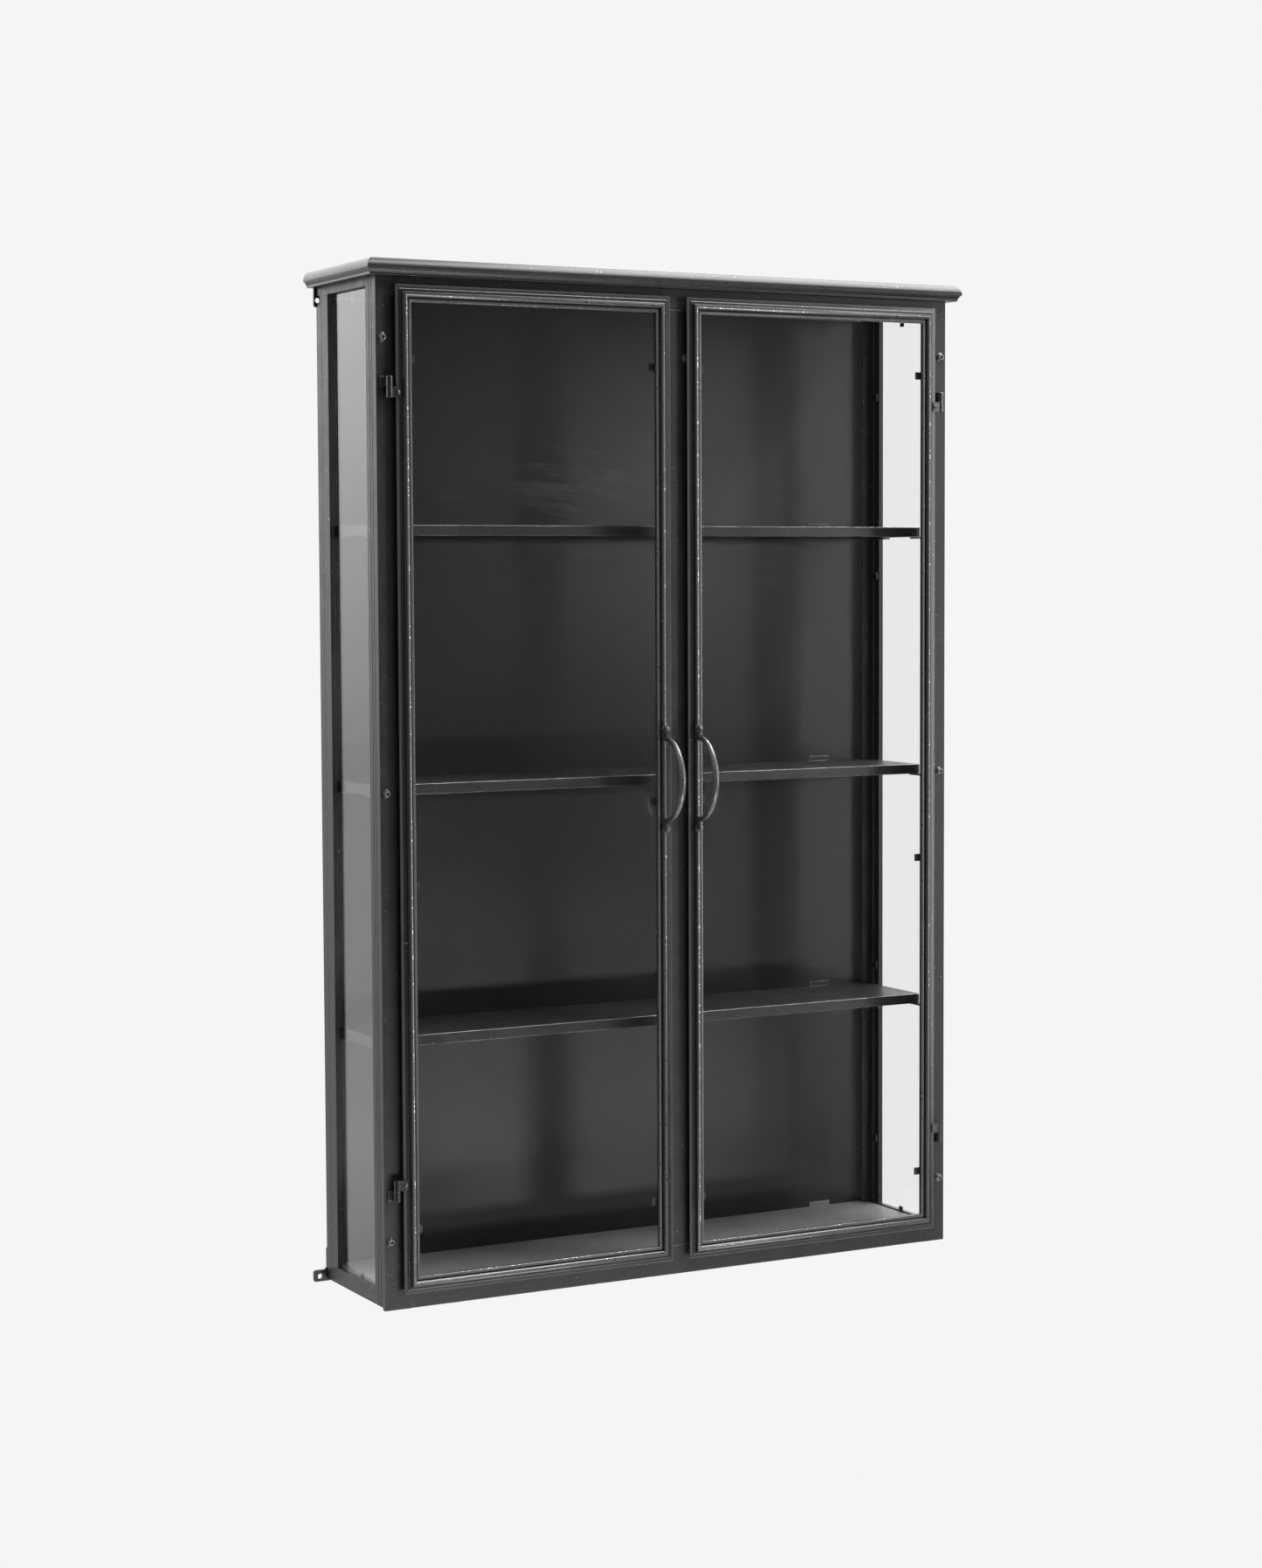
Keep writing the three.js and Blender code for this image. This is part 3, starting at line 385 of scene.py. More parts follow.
def finish_of(name):
    """The material of that name, made the first time it is asked for."""
    if name not in MATERIALS:
        finish = bpy.context.scene.showcase_finish
        makers = {
            "satin paint": lambda: worn_material("satin paint", finish.paint, 0.4, 0.7, 0.1),
            "rubbed moulding": lambda: worn_material(
                "rubbed moulding", finish.paint, 0.22, 0.95, 0.12, specular=1.0, mottle=0.12),
            "cornice paint": lambda: worn_material(
                "cornice paint", finish.paint, 0.3, 0.5, 0.12, mottle=0.12),
            "blackened iron": lambda: worn_material(
                "blackened iron", finish.iron, 0.26, 0.7, 0.35, specular=1.0, coat=0.5, mottle=0.15),
            "screw steel": lambda: worn_material(
                "screw steel", finish.iron, 0.3, 0.8, 0.2, specular=0.8, coat=0.2, mottle=0.2),
            # the back panel: black paint made darker still as painted shade, with a glow of reflected
            # light painted in as lighter strokes
            "back sheet": lambda: sheet_material("back sheet", finish.sheet, 0.31, 0.2),
            "shelf sheet": lambda: worn_material("shelf sheet", finish.shelf, 0.36, 2.2, 0.06),
            # the bottom panel's paint, paler than the rest to stand in for the light on it: painted
            # light
            "floor sheet": lambda: worn_material("floor sheet", finish.floor, 0.42, 1.6, 0.08),
            "nickel": lambda: worn_material("nickel", (0.3, 0.3, 0.3), 0.25, 1.0, 0.1),
            "pane glass": lambda: glass_material("pane glass", 0.02),
        }
        MATERIALS[name] = makers[name]()
    return MATERIALS[name]


# ---------------------------------------------------------------- mesh helpers

def finish_piece(obj, body, material, replaced=()):
    """Gives a piece its material, its body and the nodes it stands for."""
    even_normals(obj)
    obj.data.materials.clear()
    obj.data.materials.append(finish_of(material))
    for polygon in obj.data.polygons:
        polygon.material_index = 0
    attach(obj, body)
    if replaced:
        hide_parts(*replaced)


def object_of(name, mesh):
    obj = bpy.data.objects.new(name, mesh)
    bpy.context.scene.collection.objects.link(obj)
    return obj


def shade_by_angle(bm, limit=math.radians(35)):
    """Edges sharper than the limit stay crisp and everything else is shaded smooth."""
    for edge in bm.edges:
        edge.smooth = len(edge.link_faces) == 2 and edge.calc_face_angle(0.0) < limit
    for face in bm.faces:
        face.smooth = True


def evaluated_mesh(obj):
    """What an object's modifiers make of it, as a mesh of its own."""
    bpy.context.view_layer.update()
    graph = bpy.context.evaluated_depsgraph_get()
    return bpy.data.meshes.new_from_object(obj.evaluated_get(graph))


def mesh_of(name, bm):
    mesh = bpy.data.meshes.new(name)
    bm.to_mesh(mesh)
    bm.free()
    return mesh


def even_normals(obj):
    """Lets the large flats keep their own normals, so only the roundings beside them bend the light."""
    modifier = obj.modifiers.new("even normals", "WEIGHTED_NORMAL")
    modifier.mode = "FACE_AREA"
    modifier.weight = 90
    modifier.keep_sharp = True
    mesh = evaluated_mesh(obj)
    obj.modifiers.clear()
    old = obj.data
    mesh.name = old.name
    obj.data = mesh
    bpy.data.meshes.remove(old)


def round_edges(bm, edges, offset, steps):
    """Rounds the edges given, and marks the middle of each rounding as rubbed."""
    wear = bm.verts.layers.float[EDGE_WEAR]
    made = bmesh.ops.bevel(
        bm, geom=edges, offset=offset, offset_type="OFFSET", segments=steps, profile=0.62,
        affect="EDGES", clamp_overlap=True)
    rounded = set(made["faces"])
    for vert in made["verts"]:
        if vert.is_valid and vert.link_faces and all(face in rounded for face in vert.link_faces):
            vert[wear] = 1.0


def front_fold(bm):
    """The edge where a shelf's top is folded down into its front lip."""
    front = min(vert.co.y for vert in bm.verts)
    crest = max(vert.co.z for vert in bm.verts if vert.co.y < front + 1e-5)
    return [edge for edge in bm.edges
            if all(vert.co.y < front + 1e-5 and vert.co.z > crest - 1e-5 for vert in edge.verts)]


def rounded_copy(node, edge_round, sharper_than=33, fold_round=0.0):
    """A copy of a solid with its edges rounded and marked as rubbed."""
    bm = bmesh.new()
    bm.from_mesh(NODES[node].data)
    bmesh.ops.remove_doubles(bm, verts=bm.verts, dist=2e-6)
    bmesh.ops.dissolve_limit(bm, angle_limit=math.radians(0.6), verts=bm.verts, edges=bm.edges)
    bm.verts.layers.float.new(EDGE_WEAR)
    if fold_round:
        round_edges(bm, front_fold(bm), fold_round, 4)
    sharp = [edge for edge in bm.edges
             if len(edge.link_faces) == 2 and edge.calc_face_angle(0.0) > math.radians(sharper_than)]
    round_edges(bm, sharp, edge_round, 4)
    shade_by_angle(bm, math.radians(44))
    return object_of(f"{node}_finished", mesh_of(node, bm))


def finish_nodes(names, edge_round, body, slot, material, **rounding):
    for name in names:
        obj = rounded_copy(name, edge_round, **rounding)
        finish_piece(obj, body, material, [name])


def both_sides(*names):
    return [f"{name}_{label}" for name in names for label in SIDES]


# ---------------------------------------------------------------- geometry node trees

def geometry_tree(name, inputs):
    """A geometry tree whose first input and only output are the geometry."""
    return new_group(name, [("Geometry", "Geometry", None), *inputs], [("Geometry", "Geometry")],
                     "GeometryNodeTree")


def end_tree(tree, given, result, geometry):
    """Every tree ends by realising its instances and setting the finish."""
    real = add_node(tree, "GeometryNodeRealizeInstances", {"Geometry": geometry})
    paint = add_node(tree, "GeometryNodeSetMaterial", {
        "Geometry": real.outputs["Geometry"], "Material": given.outputs["Finish"]})
    plug(tree, paint.outputs["Geometry"], result.inputs["Geometry"])


def swept_frame_tree():
    """Sweeps the object's own outline around a door's rectangle, with true mitres.

    Every path point is a corner, so the outline is widened by the square root of two at each, and its
    height is brought back afterwards."""
    tree, given, result = geometry_tree(
        "swept door frame",
        [("Width", "Float", 0.35), ("Height", "Float", 1.15), ("Finish", "Material", None)])
    outline = add_node(tree, "GeometryNodeMeshToCurve", {"Mesh": given.outputs["Geometry"]})
    path = add_node(tree, "GeometryNodeCurvePrimitiveQuadrilateral", {
        "Width": given.outputs["Width"], "Height": given.outputs["Height"]})
    sweep = add_node(tree, "GeometryNodeCurveToMesh", {
        "Curve": path.outputs["Curve"], "Profile Curve": outline.outputs["Curve"],
        "Scale": math.sqrt(2)})
    lower = add_node(tree, "GeometryNodeTransform", {
        "Geometry": sweep.outputs["Mesh"], "Scale": (1, 1, math.sqrt(0.5))})
    end_tree(tree, given, result, lower.outputs["Geometry"])
    return tree


def bow_tree():
    """Sweeps a round section along the object's own points, thinner towards its roots."""
    tree, given, result = geometry_tree(
        "bow handle",
        [("Thickness", "Float", 0.004), ("Sides", "Int", 24), ("Finish", "Material", None)])
    path = add_node(tree, "GeometryNodeMeshToCurve", {"Mesh": given.outputs["Geometry"]})
    size = add_node(tree, "GeometryNodeInputNamedAttribute", {"Name": "thickness"},
                    data_type="FLOAT")
    section = add_node(tree, "GeometryNodeCurvePrimitiveCircle", {
        "Resolution": given.outputs["Sides"], "Radius": given.outputs["Thickness"]})
    sweep = add_node(tree, "GeometryNodeCurveToMesh", {
        "Curve": path.outputs["Curve"], "Profile Curve": section.outputs["Curve"],
        "Scale": size.outputs["Attribute"], "Fill Caps": True})
    end_tree(tree, given, result, sweep.outputs["Mesh"])
    return tree


def set_on_points_tree():
    """Sets one small piece on each of the object's own points, turned by the point's angles."""
    tree, given, result = geometry_tree(
        "set on points",
        [("Piece", "Object", None), ("Loose turn", "Float", 0.0), ("Seed", "Int", 7),
         ("Finish", "Material", None)])
    piece = add_node(tree, "GeometryNodeObjectInfo", {"Object": given.outputs["Piece"]})
    turn = add_node(tree, "GeometryNodeInputNamedAttribute", {"Name": TURN},
                    data_type="FLOAT_VECTOR")
    angles = add_node(tree, "FunctionNodeEulerToRotation", {0: turn.outputs["Attribute"]})
    place = add_node(tree, "GeometryNodeInstanceOnPoints", {
        "Points": given.outputs["Geometry"], "Instance": piece.outputs["Geometry"],
        "Rotation": angles.outputs[0]})
    chance = add_node(tree, "FunctionNodeRandomValue", {
        3: given.outputs["Loose turn"], "Seed": given.outputs["Seed"]}, data_type="FLOAT")
    spin = add_node(tree, "ShaderNodeCombineXYZ", {"Z": chance.outputs[1]})
    loosen = add_node(tree, "GeometryNodeRotateInstances", {
        "Instances": place.outputs["Instances"], "Rotation": spin.outputs["Vector"]})
    end_tree(tree, given, result, loosen.outputs["Instances"])
    return tree


TREES = {}


def grow(name, tree_name, base_mesh, inputs):
    """Runs a tree on a base mesh and returns the result as a plain object."""
    makers = {"frame": swept_frame_tree, "bow": bow_tree, "points": set_on_points_tree}
    if tree_name not in TREES:
        TREES[tree_name] = makers[tree_name]()
    tree = TREES[tree_name]
    base = object_of(f"{name}_base", base_mesh)
    modifier = base.modifiers.new(tree_name, "NODES")
    modifier.node_group = tree
    for item in tree.interface.items_tree:
        if item.in_out == "INPUT" and item.name in inputs:
            modifier[item.identifier] = inputs[item.name]
    mesh = evaluated_mesh(base)
    base.modifiers.clear()
    bpy.data.objects.remove(base)
    mesh.name = name
    if not mesh.polygons:
        raise RuntimeError(f"{name} came out empty")
    return object_of(name, mesh)


def tidy_mesh(mesh, merge=1e-6, limit=math.radians(35)):
    bm = bmesh.new()
    bm.from_mesh(mesh)
    bmesh.ops.remove_doubles(bm, verts=bm.verts, dist=merge)
    bmesh.ops.recalc_face_normals(bm, faces=bm.faces)
    shade_by_angle(bm, limit)
    bm.to_mesh(mesh)
    bm.free()


def set_wear(mesh, worn):
    """Writes how rubbed each point is; worn takes a point and gives 0 to 1."""
    layer = mesh.attributes.get(EDGE_WEAR) or mesh.attributes.new(EDGE_WEAR, "FLOAT", "POINT")
    for vertex, item in zip(mesh.vertices, layer.data):
        item.value = worn(vertex.co)


def points_mesh(name, points):
    """A mesh of loose points, each with the angles its piece is turned by."""
    mesh = bpy.data.meshes.new(name)
    mesh.from_pydata([place for place, _ in points], [], [])
    layer = mesh.attributes.new(TURN, "FLOAT_VECTOR", "POINT")
    for item, (_, angles) in zip(layer.data, points):
        item.vector = angles
    return mesh


def turned_mesh(name, profile, sides=32, wear_from=None):
    """A solid of revolution about Z from [radius, height] points that start and end on the axis."""
    bm = bmesh.new()
    wear = bm.verts.layers.float.new(EDGE_WEAR)
    rings = []
    for radius, height in profile:
        if radius < 1e-7:
            rings.append([bm.verts.new((0, 0, height))])
            continue
        rings.append([bm.verts.new((radius * math.cos(2 * math.pi * k / sides),
                                    radius * math.sin(2 * math.pi * k / sides), height))
                      for k in range(sides)])
    for lower, upper in zip(rings, rings[1:]):
        for k in range(sides):
            corners = [lower[k % len(lower)], lower[(k + 1) % len(lower)],
                       upper[(k + 1) % len(upper)], upper[k % len(upper)]]
            corners = list(dict.fromkeys(corners))
            if len(corners) > 2:
                bm.faces.new(corners)
    if wear_from is not None:
        for vert in bm.verts:
            vert[wear] = 0.9 if vert.co.z > wear_from else 0.2
    bmesh.ops.recalc_face_normals(bm, faces=bm.faces)
    shade_by_angle(bm, math.radians(40))
    return mesh_of(name, bm)


def remove_helper(obj):
    mesh = obj.data
    bpy.data.objects.remove(obj)
    bpy.data.meshes.remove(mesh)


# ---------------------------------------------------------------- pieces

class SHOWCASE_OT_face_frame(bpy.types.Operator):
    """Make the face frame's stiles, rails and mullion"""
    bl_idname = "showcase.face_frame"
    bl_label = "Face frame"

    def execute(self, context):
        size = context.scene.showcase_sizes
        names = both_sides("face_stile") + ["face_mullion", "face_top_rail", "face_bottom_rail"]
        finish_nodes(names, size.edge_round, "carcass", "black_paint", "satin paint")
        finish_nodes(both_sides("door_magnet"), size.sheet_round, "carcass", "magnet", "nickel")
        return {"FINISHED"}


class SHOWCASE_OT_side_frames(bpy.types.Operator):
    """Make the glazed side frames' bars"""
    bl_idname = "showcase.side_frames"
    bl_label = "Side frames"

    def execute(self, context):
        names = both_sides("side_front_stile", "side_rear_stile", "side_top_rail", "side_bottom_rail")
        round_by = context.scene.showcase_sizes.edge_round
        finish_nodes(names, round_by, "carcass", "black_paint", "satin paint")
        return {"FINISHED"}


class SHOWCASE_OT_rear_frame(bpy.types.Operator):
    """Make the rear posts, rails and wall lugs"""
    bl_idname = "showcase.rear_frame"
    bl_label = "Rear frame"

    def execute(self, context):
        names = both_sides("rear_post", "wall_lug_lower", "wall_lug_upper")
        names += ["rear_top_rail", "rear_bottom_rail"]
        round_by = context.scene.showcase_sizes.sheet_round
        finish_nodes(names, round_by, "carcass", "black_paint", "satin paint")
        return {"FINISHED"}


class SHOWCASE_OT_panels(bpy.types.Operator):
    """Make the back, top and bottom panels and the shelves"""
    bl_idname = "showcase.panels"
    bl_label = "Panels and shelves"

    def execute(self, context):
        round_by = context.scene.showcase_sizes.sheet_round
        finish_nodes(["back_panel"], round_by, "carcass", "black_sheet", "back sheet")
        shelves = ["shelf_lower", "shelf_middle", "shelf_upper", "top_panel"]
        finish_nodes(shelves, round_by, "carcass", "black_sheet", "shelf sheet", fold_round=0.0013)
        # the bottom panel takes the paint made paler to stand in for the light on it: painted light
        finish_nodes(["bottom_panel"], round_by, "carcass", "black_sheet", "floor sheet",
                     fold_round=0.0013)
        return {"FINISHED"}


class SHOWCASE_OT_cornice(bpy.types.Operator):
    """Make the cornice moulding"""
    bl_idname = "showcase.cornice"
    bl_label = "Cornice"

    def execute(self, context):
        names = ["cornice_front", "cornice_left", "cornice_right"]
        round_by = context.scene.showcase_sizes.sheet_round
        finish_nodes(names, round_by, "carcass", "black_paint", "cornice paint", sharper_than=24)
        return {"FINISHED"}


def moulding_outline(size, depth):
    """The door moulding as [inwards from the outer edge, forwards from the back of the bars]."""
    radius = size.bead_radius
    middle = size.bead_middle
    crest = depth - radius
    lip = crest - 0.0002
    flange_front = crest - 0.001
    points = [
        (size.flange, 0.0), (size.flange, flange_front - 0.0017), (0.0005, flange_front - 0.0017),
        (0.0001, flange_front - 0.0013), (0.0001, flange_front - 0.0005), (0.0005, flange_front),
        (0.0044, flange_front), (0.0048, flange_front + 0.0002), (0.0052, lip - 0.0002),
        (0.0056, lip), (middle - radius - 0.0005, lip), (middle - radius - 0.0001, lip - 0.0002),
    ]
    steps = 18
    for step in range(steps + 1):
        angle = math.pi * (1 - step / steps)
        points.append((middle + radius * math.cos(angle), crest + radius * math.sin(angle)))
    inner = size.moulding
    points += [
        (middle + radius, lip - 0.0013), (inner - 0.0036, lip - 0.0013), (inner - 0.0036, lip - 0.0004),
        (inner - 0.0032, lip), (inner - 0.0008, lip), (inner - 0.0003, lip - 0.0003),
        (inner, lip - 0.0008), (inner, 0.0041), (inner - 0.007, 0.0041), (inner - 0.007, 0.0),
    ]
    return points


def door_faces(label):
    """Outer rectangle and depth of a door's moulding, read from its four bars."""
    bars = [f"door_{label}_{edge}" for edge in ("hinge_side", "pull_side", "top", "bottom")]
    boxes = [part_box(bar) for bar in bars]
    low = Vector(min(b[0][i] for b in boxes) for i in range(3))
    high = Vector(max(b[1][i] for b in boxes) for i in range(3))
    return bars, low, high


CLIP_BEHIND = 0.0007  # folded clips stand this far behind the bars' backs


class SHOWCASE_OT_door_frames(bpy.types.Operator):
    """Make each door's mitred moulding"""
    bl_idname = "showcase.door_frames"
    bl_label = "Door frames"

    def execute(self, context):
        size = context.scene.showcase_sizes
        for label in SIDES:
            bars, low, high = door_faces(label)
            depth = high.y - low.y - CLIP_BEHIND
            outline = moulding_outline(size, depth)
            base = bpy.data.meshes.new("moulding outline")
            count = len(outline)
            base.from_pydata(
                [(inwards, forwards, 0) for inwards, forwards in outline],
                [(i, (i + 1) % count) for i in range(count)], [])
            frame_piece = grow(
                f"door_{label}_moulding", "frame", base,
                {"Width": high.x - low.x, "Height": high.z - low.z,
                 "Finish": finish_of("rubbed moulding")})
            self.settle(frame_piece.data, low, high, depth, size)
            finish_piece(frame_piece, f"door_{label}", "rubbed moulding", bars)
        return {"FINISHED"}

    def settle(self, mesh, low, high, depth, size):
        """Turns the swept frame to face forwards and puts it on the door's rectangle."""
        middle = (low + high) / 2
        outer = Vector(((high.x - low.x) / 2, (high.z - low.z) / 2))
        back = low.y + depth
        for vertex in mesh.vertices:
            x, z, out = vertex.co
            vertex.co = (middle.x + math.copysign(2 * outer.x - abs(x), x), back + out,
                         middle.z + math.copysign(2 * outer.y - abs(z), z))
        tidy_mesh(mesh)
        crest = low.y

        def worn(point):
            inwards = min(outer.x - abs(point.x - middle.x), outer.y - abs(point.z - middle.z))
            on_bead = max(0.0, 1 - abs(inwards - size.bead_middle - 0.0004) / 0.0026)
            on_lip = 1.0 if inwards > size.moulding - 0.0034 and point.y < crest + 0.0046 else 0.0
            on_rim = 1.0 if inwards < 0.0006 else 0.0
            if point.y > crest + 0.006:
                return 0.0
            return max(on_bead, on_lip * 0.8, on_rim * 0.5)
        set_wear(mesh, worn)


class SHOWCASE_OT_handles(bpy.types.Operator):
    """Make the bow handles with their screw eyes"""
    bl_idname = "showcase.handles"
    bl_label = "Handles"

    def execute(self, context):
        size = context.scene.showcase_sizes
        for label in SIDES:
            node = f"door_{label}_handle"
            low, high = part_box(node)
            middle_x, middle_z = (low.x + high.x) / 2, (low.z + high.z) / 2
            eye_out = (high.z - low.z) / 2 - size.eye_radius
            root = high.y - 0.0017
            reach = root - low.y - size.bow_width
            bow = self.bow(node, size, middle_x, root, reach, middle_z)
            feet = self.feet(node, size, middle_x, high.y, middle_z, eye_out)
            merged = self.join([bow, feet], f"door_{label}_bow")
            tip = low.y

            def worn(point):
                out = (root - point.y) / (root - tip)
                return min(1.0, 0.25 + 0.85 * out) if abs(point.z - middle_z) < eye_out else 0.7
            tidy_mesh(merged.data, limit=math.radians(50))
            set_wear(merged.data, worn)
            finish_piece(merged, f"door_{label}", "blackened iron", [node])
        return {"FINISHED"}

    def bow(self, node, size, x, root, reach, middle_z):
        steps = 48
        points = []
        thickness = []
        for step in range(steps + 1):
            turn = math.pi * step / steps
            points.append((x, root - reach * math.sin(turn),
                           middle_z + size.bow_span / 2 * math.cos(turn)))
            end = math.sin(turn)
            collar = 0.22 * math.exp(-((end - 0.06) / 0.05) ** 2)
            thickness.append(0.78 + 0.22 * end + collar)
        base = bpy.data.meshes.new("bow path")
        base.from_pydata(points, [(i, i + 1) for i in range(steps)], [])
        layer = base.attributes.new("thickness", "FLOAT", "POINT")
        for item, value in zip(layer.data, thickness):
            item.value = value
        return grow(f"{node}_bow", "bow", base, {
            "Thickness": size.bow_width, "Sides": 24, "Finish": finish_of("blackened iron")})

    def feet(self, node, size, x, seat, middle_z, eye_out):
        """Round screw eyes with a short neck that runs into each root of the bow."""
        bm = bmesh.new()
        radius = size.eye_radius
        for end in (-1, 1):
            eye_z = middle_z + end * eye_out
            rings = [(radius * 0.94, 0.0), (radius, 0.0006), (radius, 0.0024), (radius * 0.9, 0.0033),
                     (radius * 0.7, 0.0034)]
            last = None
            for ring_radius, out in rings:
                ring = [bm.verts.new((x + ring_radius * math.cos(2 * math.pi * k / 28), seat - out,
                                      eye_z + ring_radius * math.sin(2 * math.pi * k / 28)))
                        for k in range(28)]
                if last:
                    for k in range(28):
                        bm.faces.new((last[k], last[(k + 1) % 28], ring[(k + 1) % 28], ring[k]))
                else:
                    bm.faces.new(ring)
                last = ring
            bm.faces.new(last)
            self.neck(bm, size, x, seat, eye_z, middle_z + end * size.bow_span / 2)
        bmesh.ops.recalc_face_normals(bm, faces=bm.faces)
        mesh = bpy.data.meshes.new(f"{node}_feet")
        bm.to_mesh(mesh)
        bm.free()
        return object_of(f"{node}_feet", mesh)

    def neck(self, bm, size, x, seat, eye_z, root_z):
        half = size.bow_width * 0.76
        rings = []
        for share in (0.0, 0.25, 0.5, 0.75, 1.0):
            z = eye_z + (root_z - eye_z) * share
            waist = half * (1.0 - 0.28 * math.sin(math.pi * share))
            top = 0.0033 - 0.0008 * math.sin(math.pi * share)
            rings.append([bm.verts.new((x + waist * math.cos(math.pi * k / 8), seat - 0.0002 -
                                        top * math.sin(math.pi * k / 8), z)) for k in range(9)])
        for lower, upper in zip(rings, rings[1:]):
            for k in range(9):
                bm.faces.new((lower[k], lower[(k + 1) % 9], upper[(k + 1) % 9], upper[k]))
        bm.faces.new(rings[0])
        bm.faces.new(rings[-1])

    def join(self, objects, name):
        bm = bmesh.new()
        for obj in objects:
            bm.from_mesh(obj.data)
            remove_helper(obj)
        mesh = bpy.data.meshes.new(name)
        bm.to_mesh(mesh)
        bm.free()
        return object_of(name, mesh)


class SHOWCASE_OT_hinges(bpy.types.Operator):
    """Make the pin hinges"""
    bl_idname = "showcase.hinges"
    bl_label = "Hinges"

    def execute(self, context):
        round_by = context.scene.showcase_sizes.sheet_round
        for label in SIDES:
            for row in ("lower", "upper"):
                fixed, moving = f"hinge_{row}_{label}_fixed", f"hinge_{row}_{label}_door"
                finish_nodes([fixed], round_by, "carcass", "blackened_iron", "blackened iron")
                finish_nodes([moving], round_by, f"door_{label}", "blackened_iron", "blackened iron")
        return {"FINISHED"}


def socket_screw_mesh(radius, height):
    """A flanged button head with a raised ring and a round socket."""
    return turned_mesh("socket screw", [
        (0, -0.001), (radius, -0.001), (radius, 0.0), (radius, height * 0.12),
        (radius * 0.96, height * 0.22), (radius * 0.8, height * 0.34), (radius * 0.74, height * 0.5),
        (radius * 0.7, height * 0.78), (radius * 0.6, height * 0.94), (radius * 0.46, height),
        (radius * 0.38, height * 0.95), (radius * 0.34, height * 0.55), (radius * 0.3, height * 0.5),
        (0, height * 0.5)], wear_from=height * 0.9)


def dome_screw_mesh(radius, height):
    """A domed head on a thin washer."""
    dome = [(radius * 0.86 * math.cos(a), height * 0.22 + height * 0.78 * math.sin(a))
            for a in [math.pi / 2 * i / 8 for i in range(8)]]
    return turned_mesh("dome screw", [
        (0, -0.0004), (radius, -0.0004), (radius, height * 0.16), (radius * 0.9, height * 0.22),
        *dome, (0, height)], wear_from=height * 0.8)


FORWARD = (math.pi / 2, 0, 0)  # turns a piece that stands on +Z to stand on -Y
EAR_SCREW_RADIUS = 0.0026
EYE_SEAT = 0.0034  # how far the screw eyes stand out from the moulding


class SHOWCASE_OT_screws(bpy.types.Operator):
    """Set the frame screws, handle screws and hinge screws"""
    bl_idname = "showcase.screws"
    bl_label = "Screws"

    def execute(self, context):
        finish = context.scene.showcase_finish
        frame_nodes = [f"frame_screw_{row}_{label}" for row in ("lower", "middle", "upper")
                       for label in SIDES]
        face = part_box("face_mullion")[0].y
        places = []
        for node in frame_nodes:
            low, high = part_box(node)
            places.append(((low.x + high.x) / 2, face, (low.z + high.z) / 2))
        low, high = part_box(frame_nodes[0])
        self.place("frame_screws", "carcass", "socket_screw", "screw steel", places,
                   socket_screw_mesh((high.x - low.x) / 2, face - low.y), finish.seed, frame_nodes)
        for label, side in SIDES.items():
            low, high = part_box(f"door_{label}_handle")
            size = context.scene.showcase_sizes
            middle_x = (low.x + high.x) / 2
            eyes = [(middle_x, high.y - EYE_SEAT, low.z + size.eye_radius),
                    (middle_x, high.y - EYE_SEAT, high.z - size.eye_radius)]
            self.place(f"handle_screws_{label}", f"door_{label}", "blackened_iron", "screw steel",
                       eyes, dome_screw_mesh(0.0043, 0.0046), finish.seed, [])
            ears = []
            for row in ("lower", "upper"):
                low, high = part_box(f"hinge_{row}_{label}_door")
                inner = high.x if side < 0 else low.x
                flange = door_faces(label)[1].y + 0.0025
                ears.append((inner + side * EAR_SCREW_RADIUS, flange, (low.z + high.z) / 2))
            self.place(f"hinge_screws_{label}", f"door_{label}", "blackened_iron", "screw steel",
                       ears, dome_screw_mesh(EAR_SCREW_RADIUS, 0.002), finish.seed, [])
        return {"FINISHED"}

    def place(self, name, body, slot, material, places, screw_mesh, seed, replaced):
        helper = object_of("screw pattern", screw_mesh)
        obj = grow(name, "points", points_mesh(name, [(p, FORWARD) for p in places]), {
            "Piece": helper, "Loose turn": 2 * math.pi, "Seed": seed, "Finish": finish_of(material)})
        remove_helper(helper)
        finish_piece(obj, body, material, replaced)


CLIP_SEAT = 0.00055  # the clips' backs, in front of the bars' backs
LOW_CLIP, MIDDLE_HINGE_CLIP, MIDDLE_PULL_CLIP = 0.0735, 0.4705, 0.5555  # above the door's foot
TOP_CLIP = 0.0835  # below the door's top


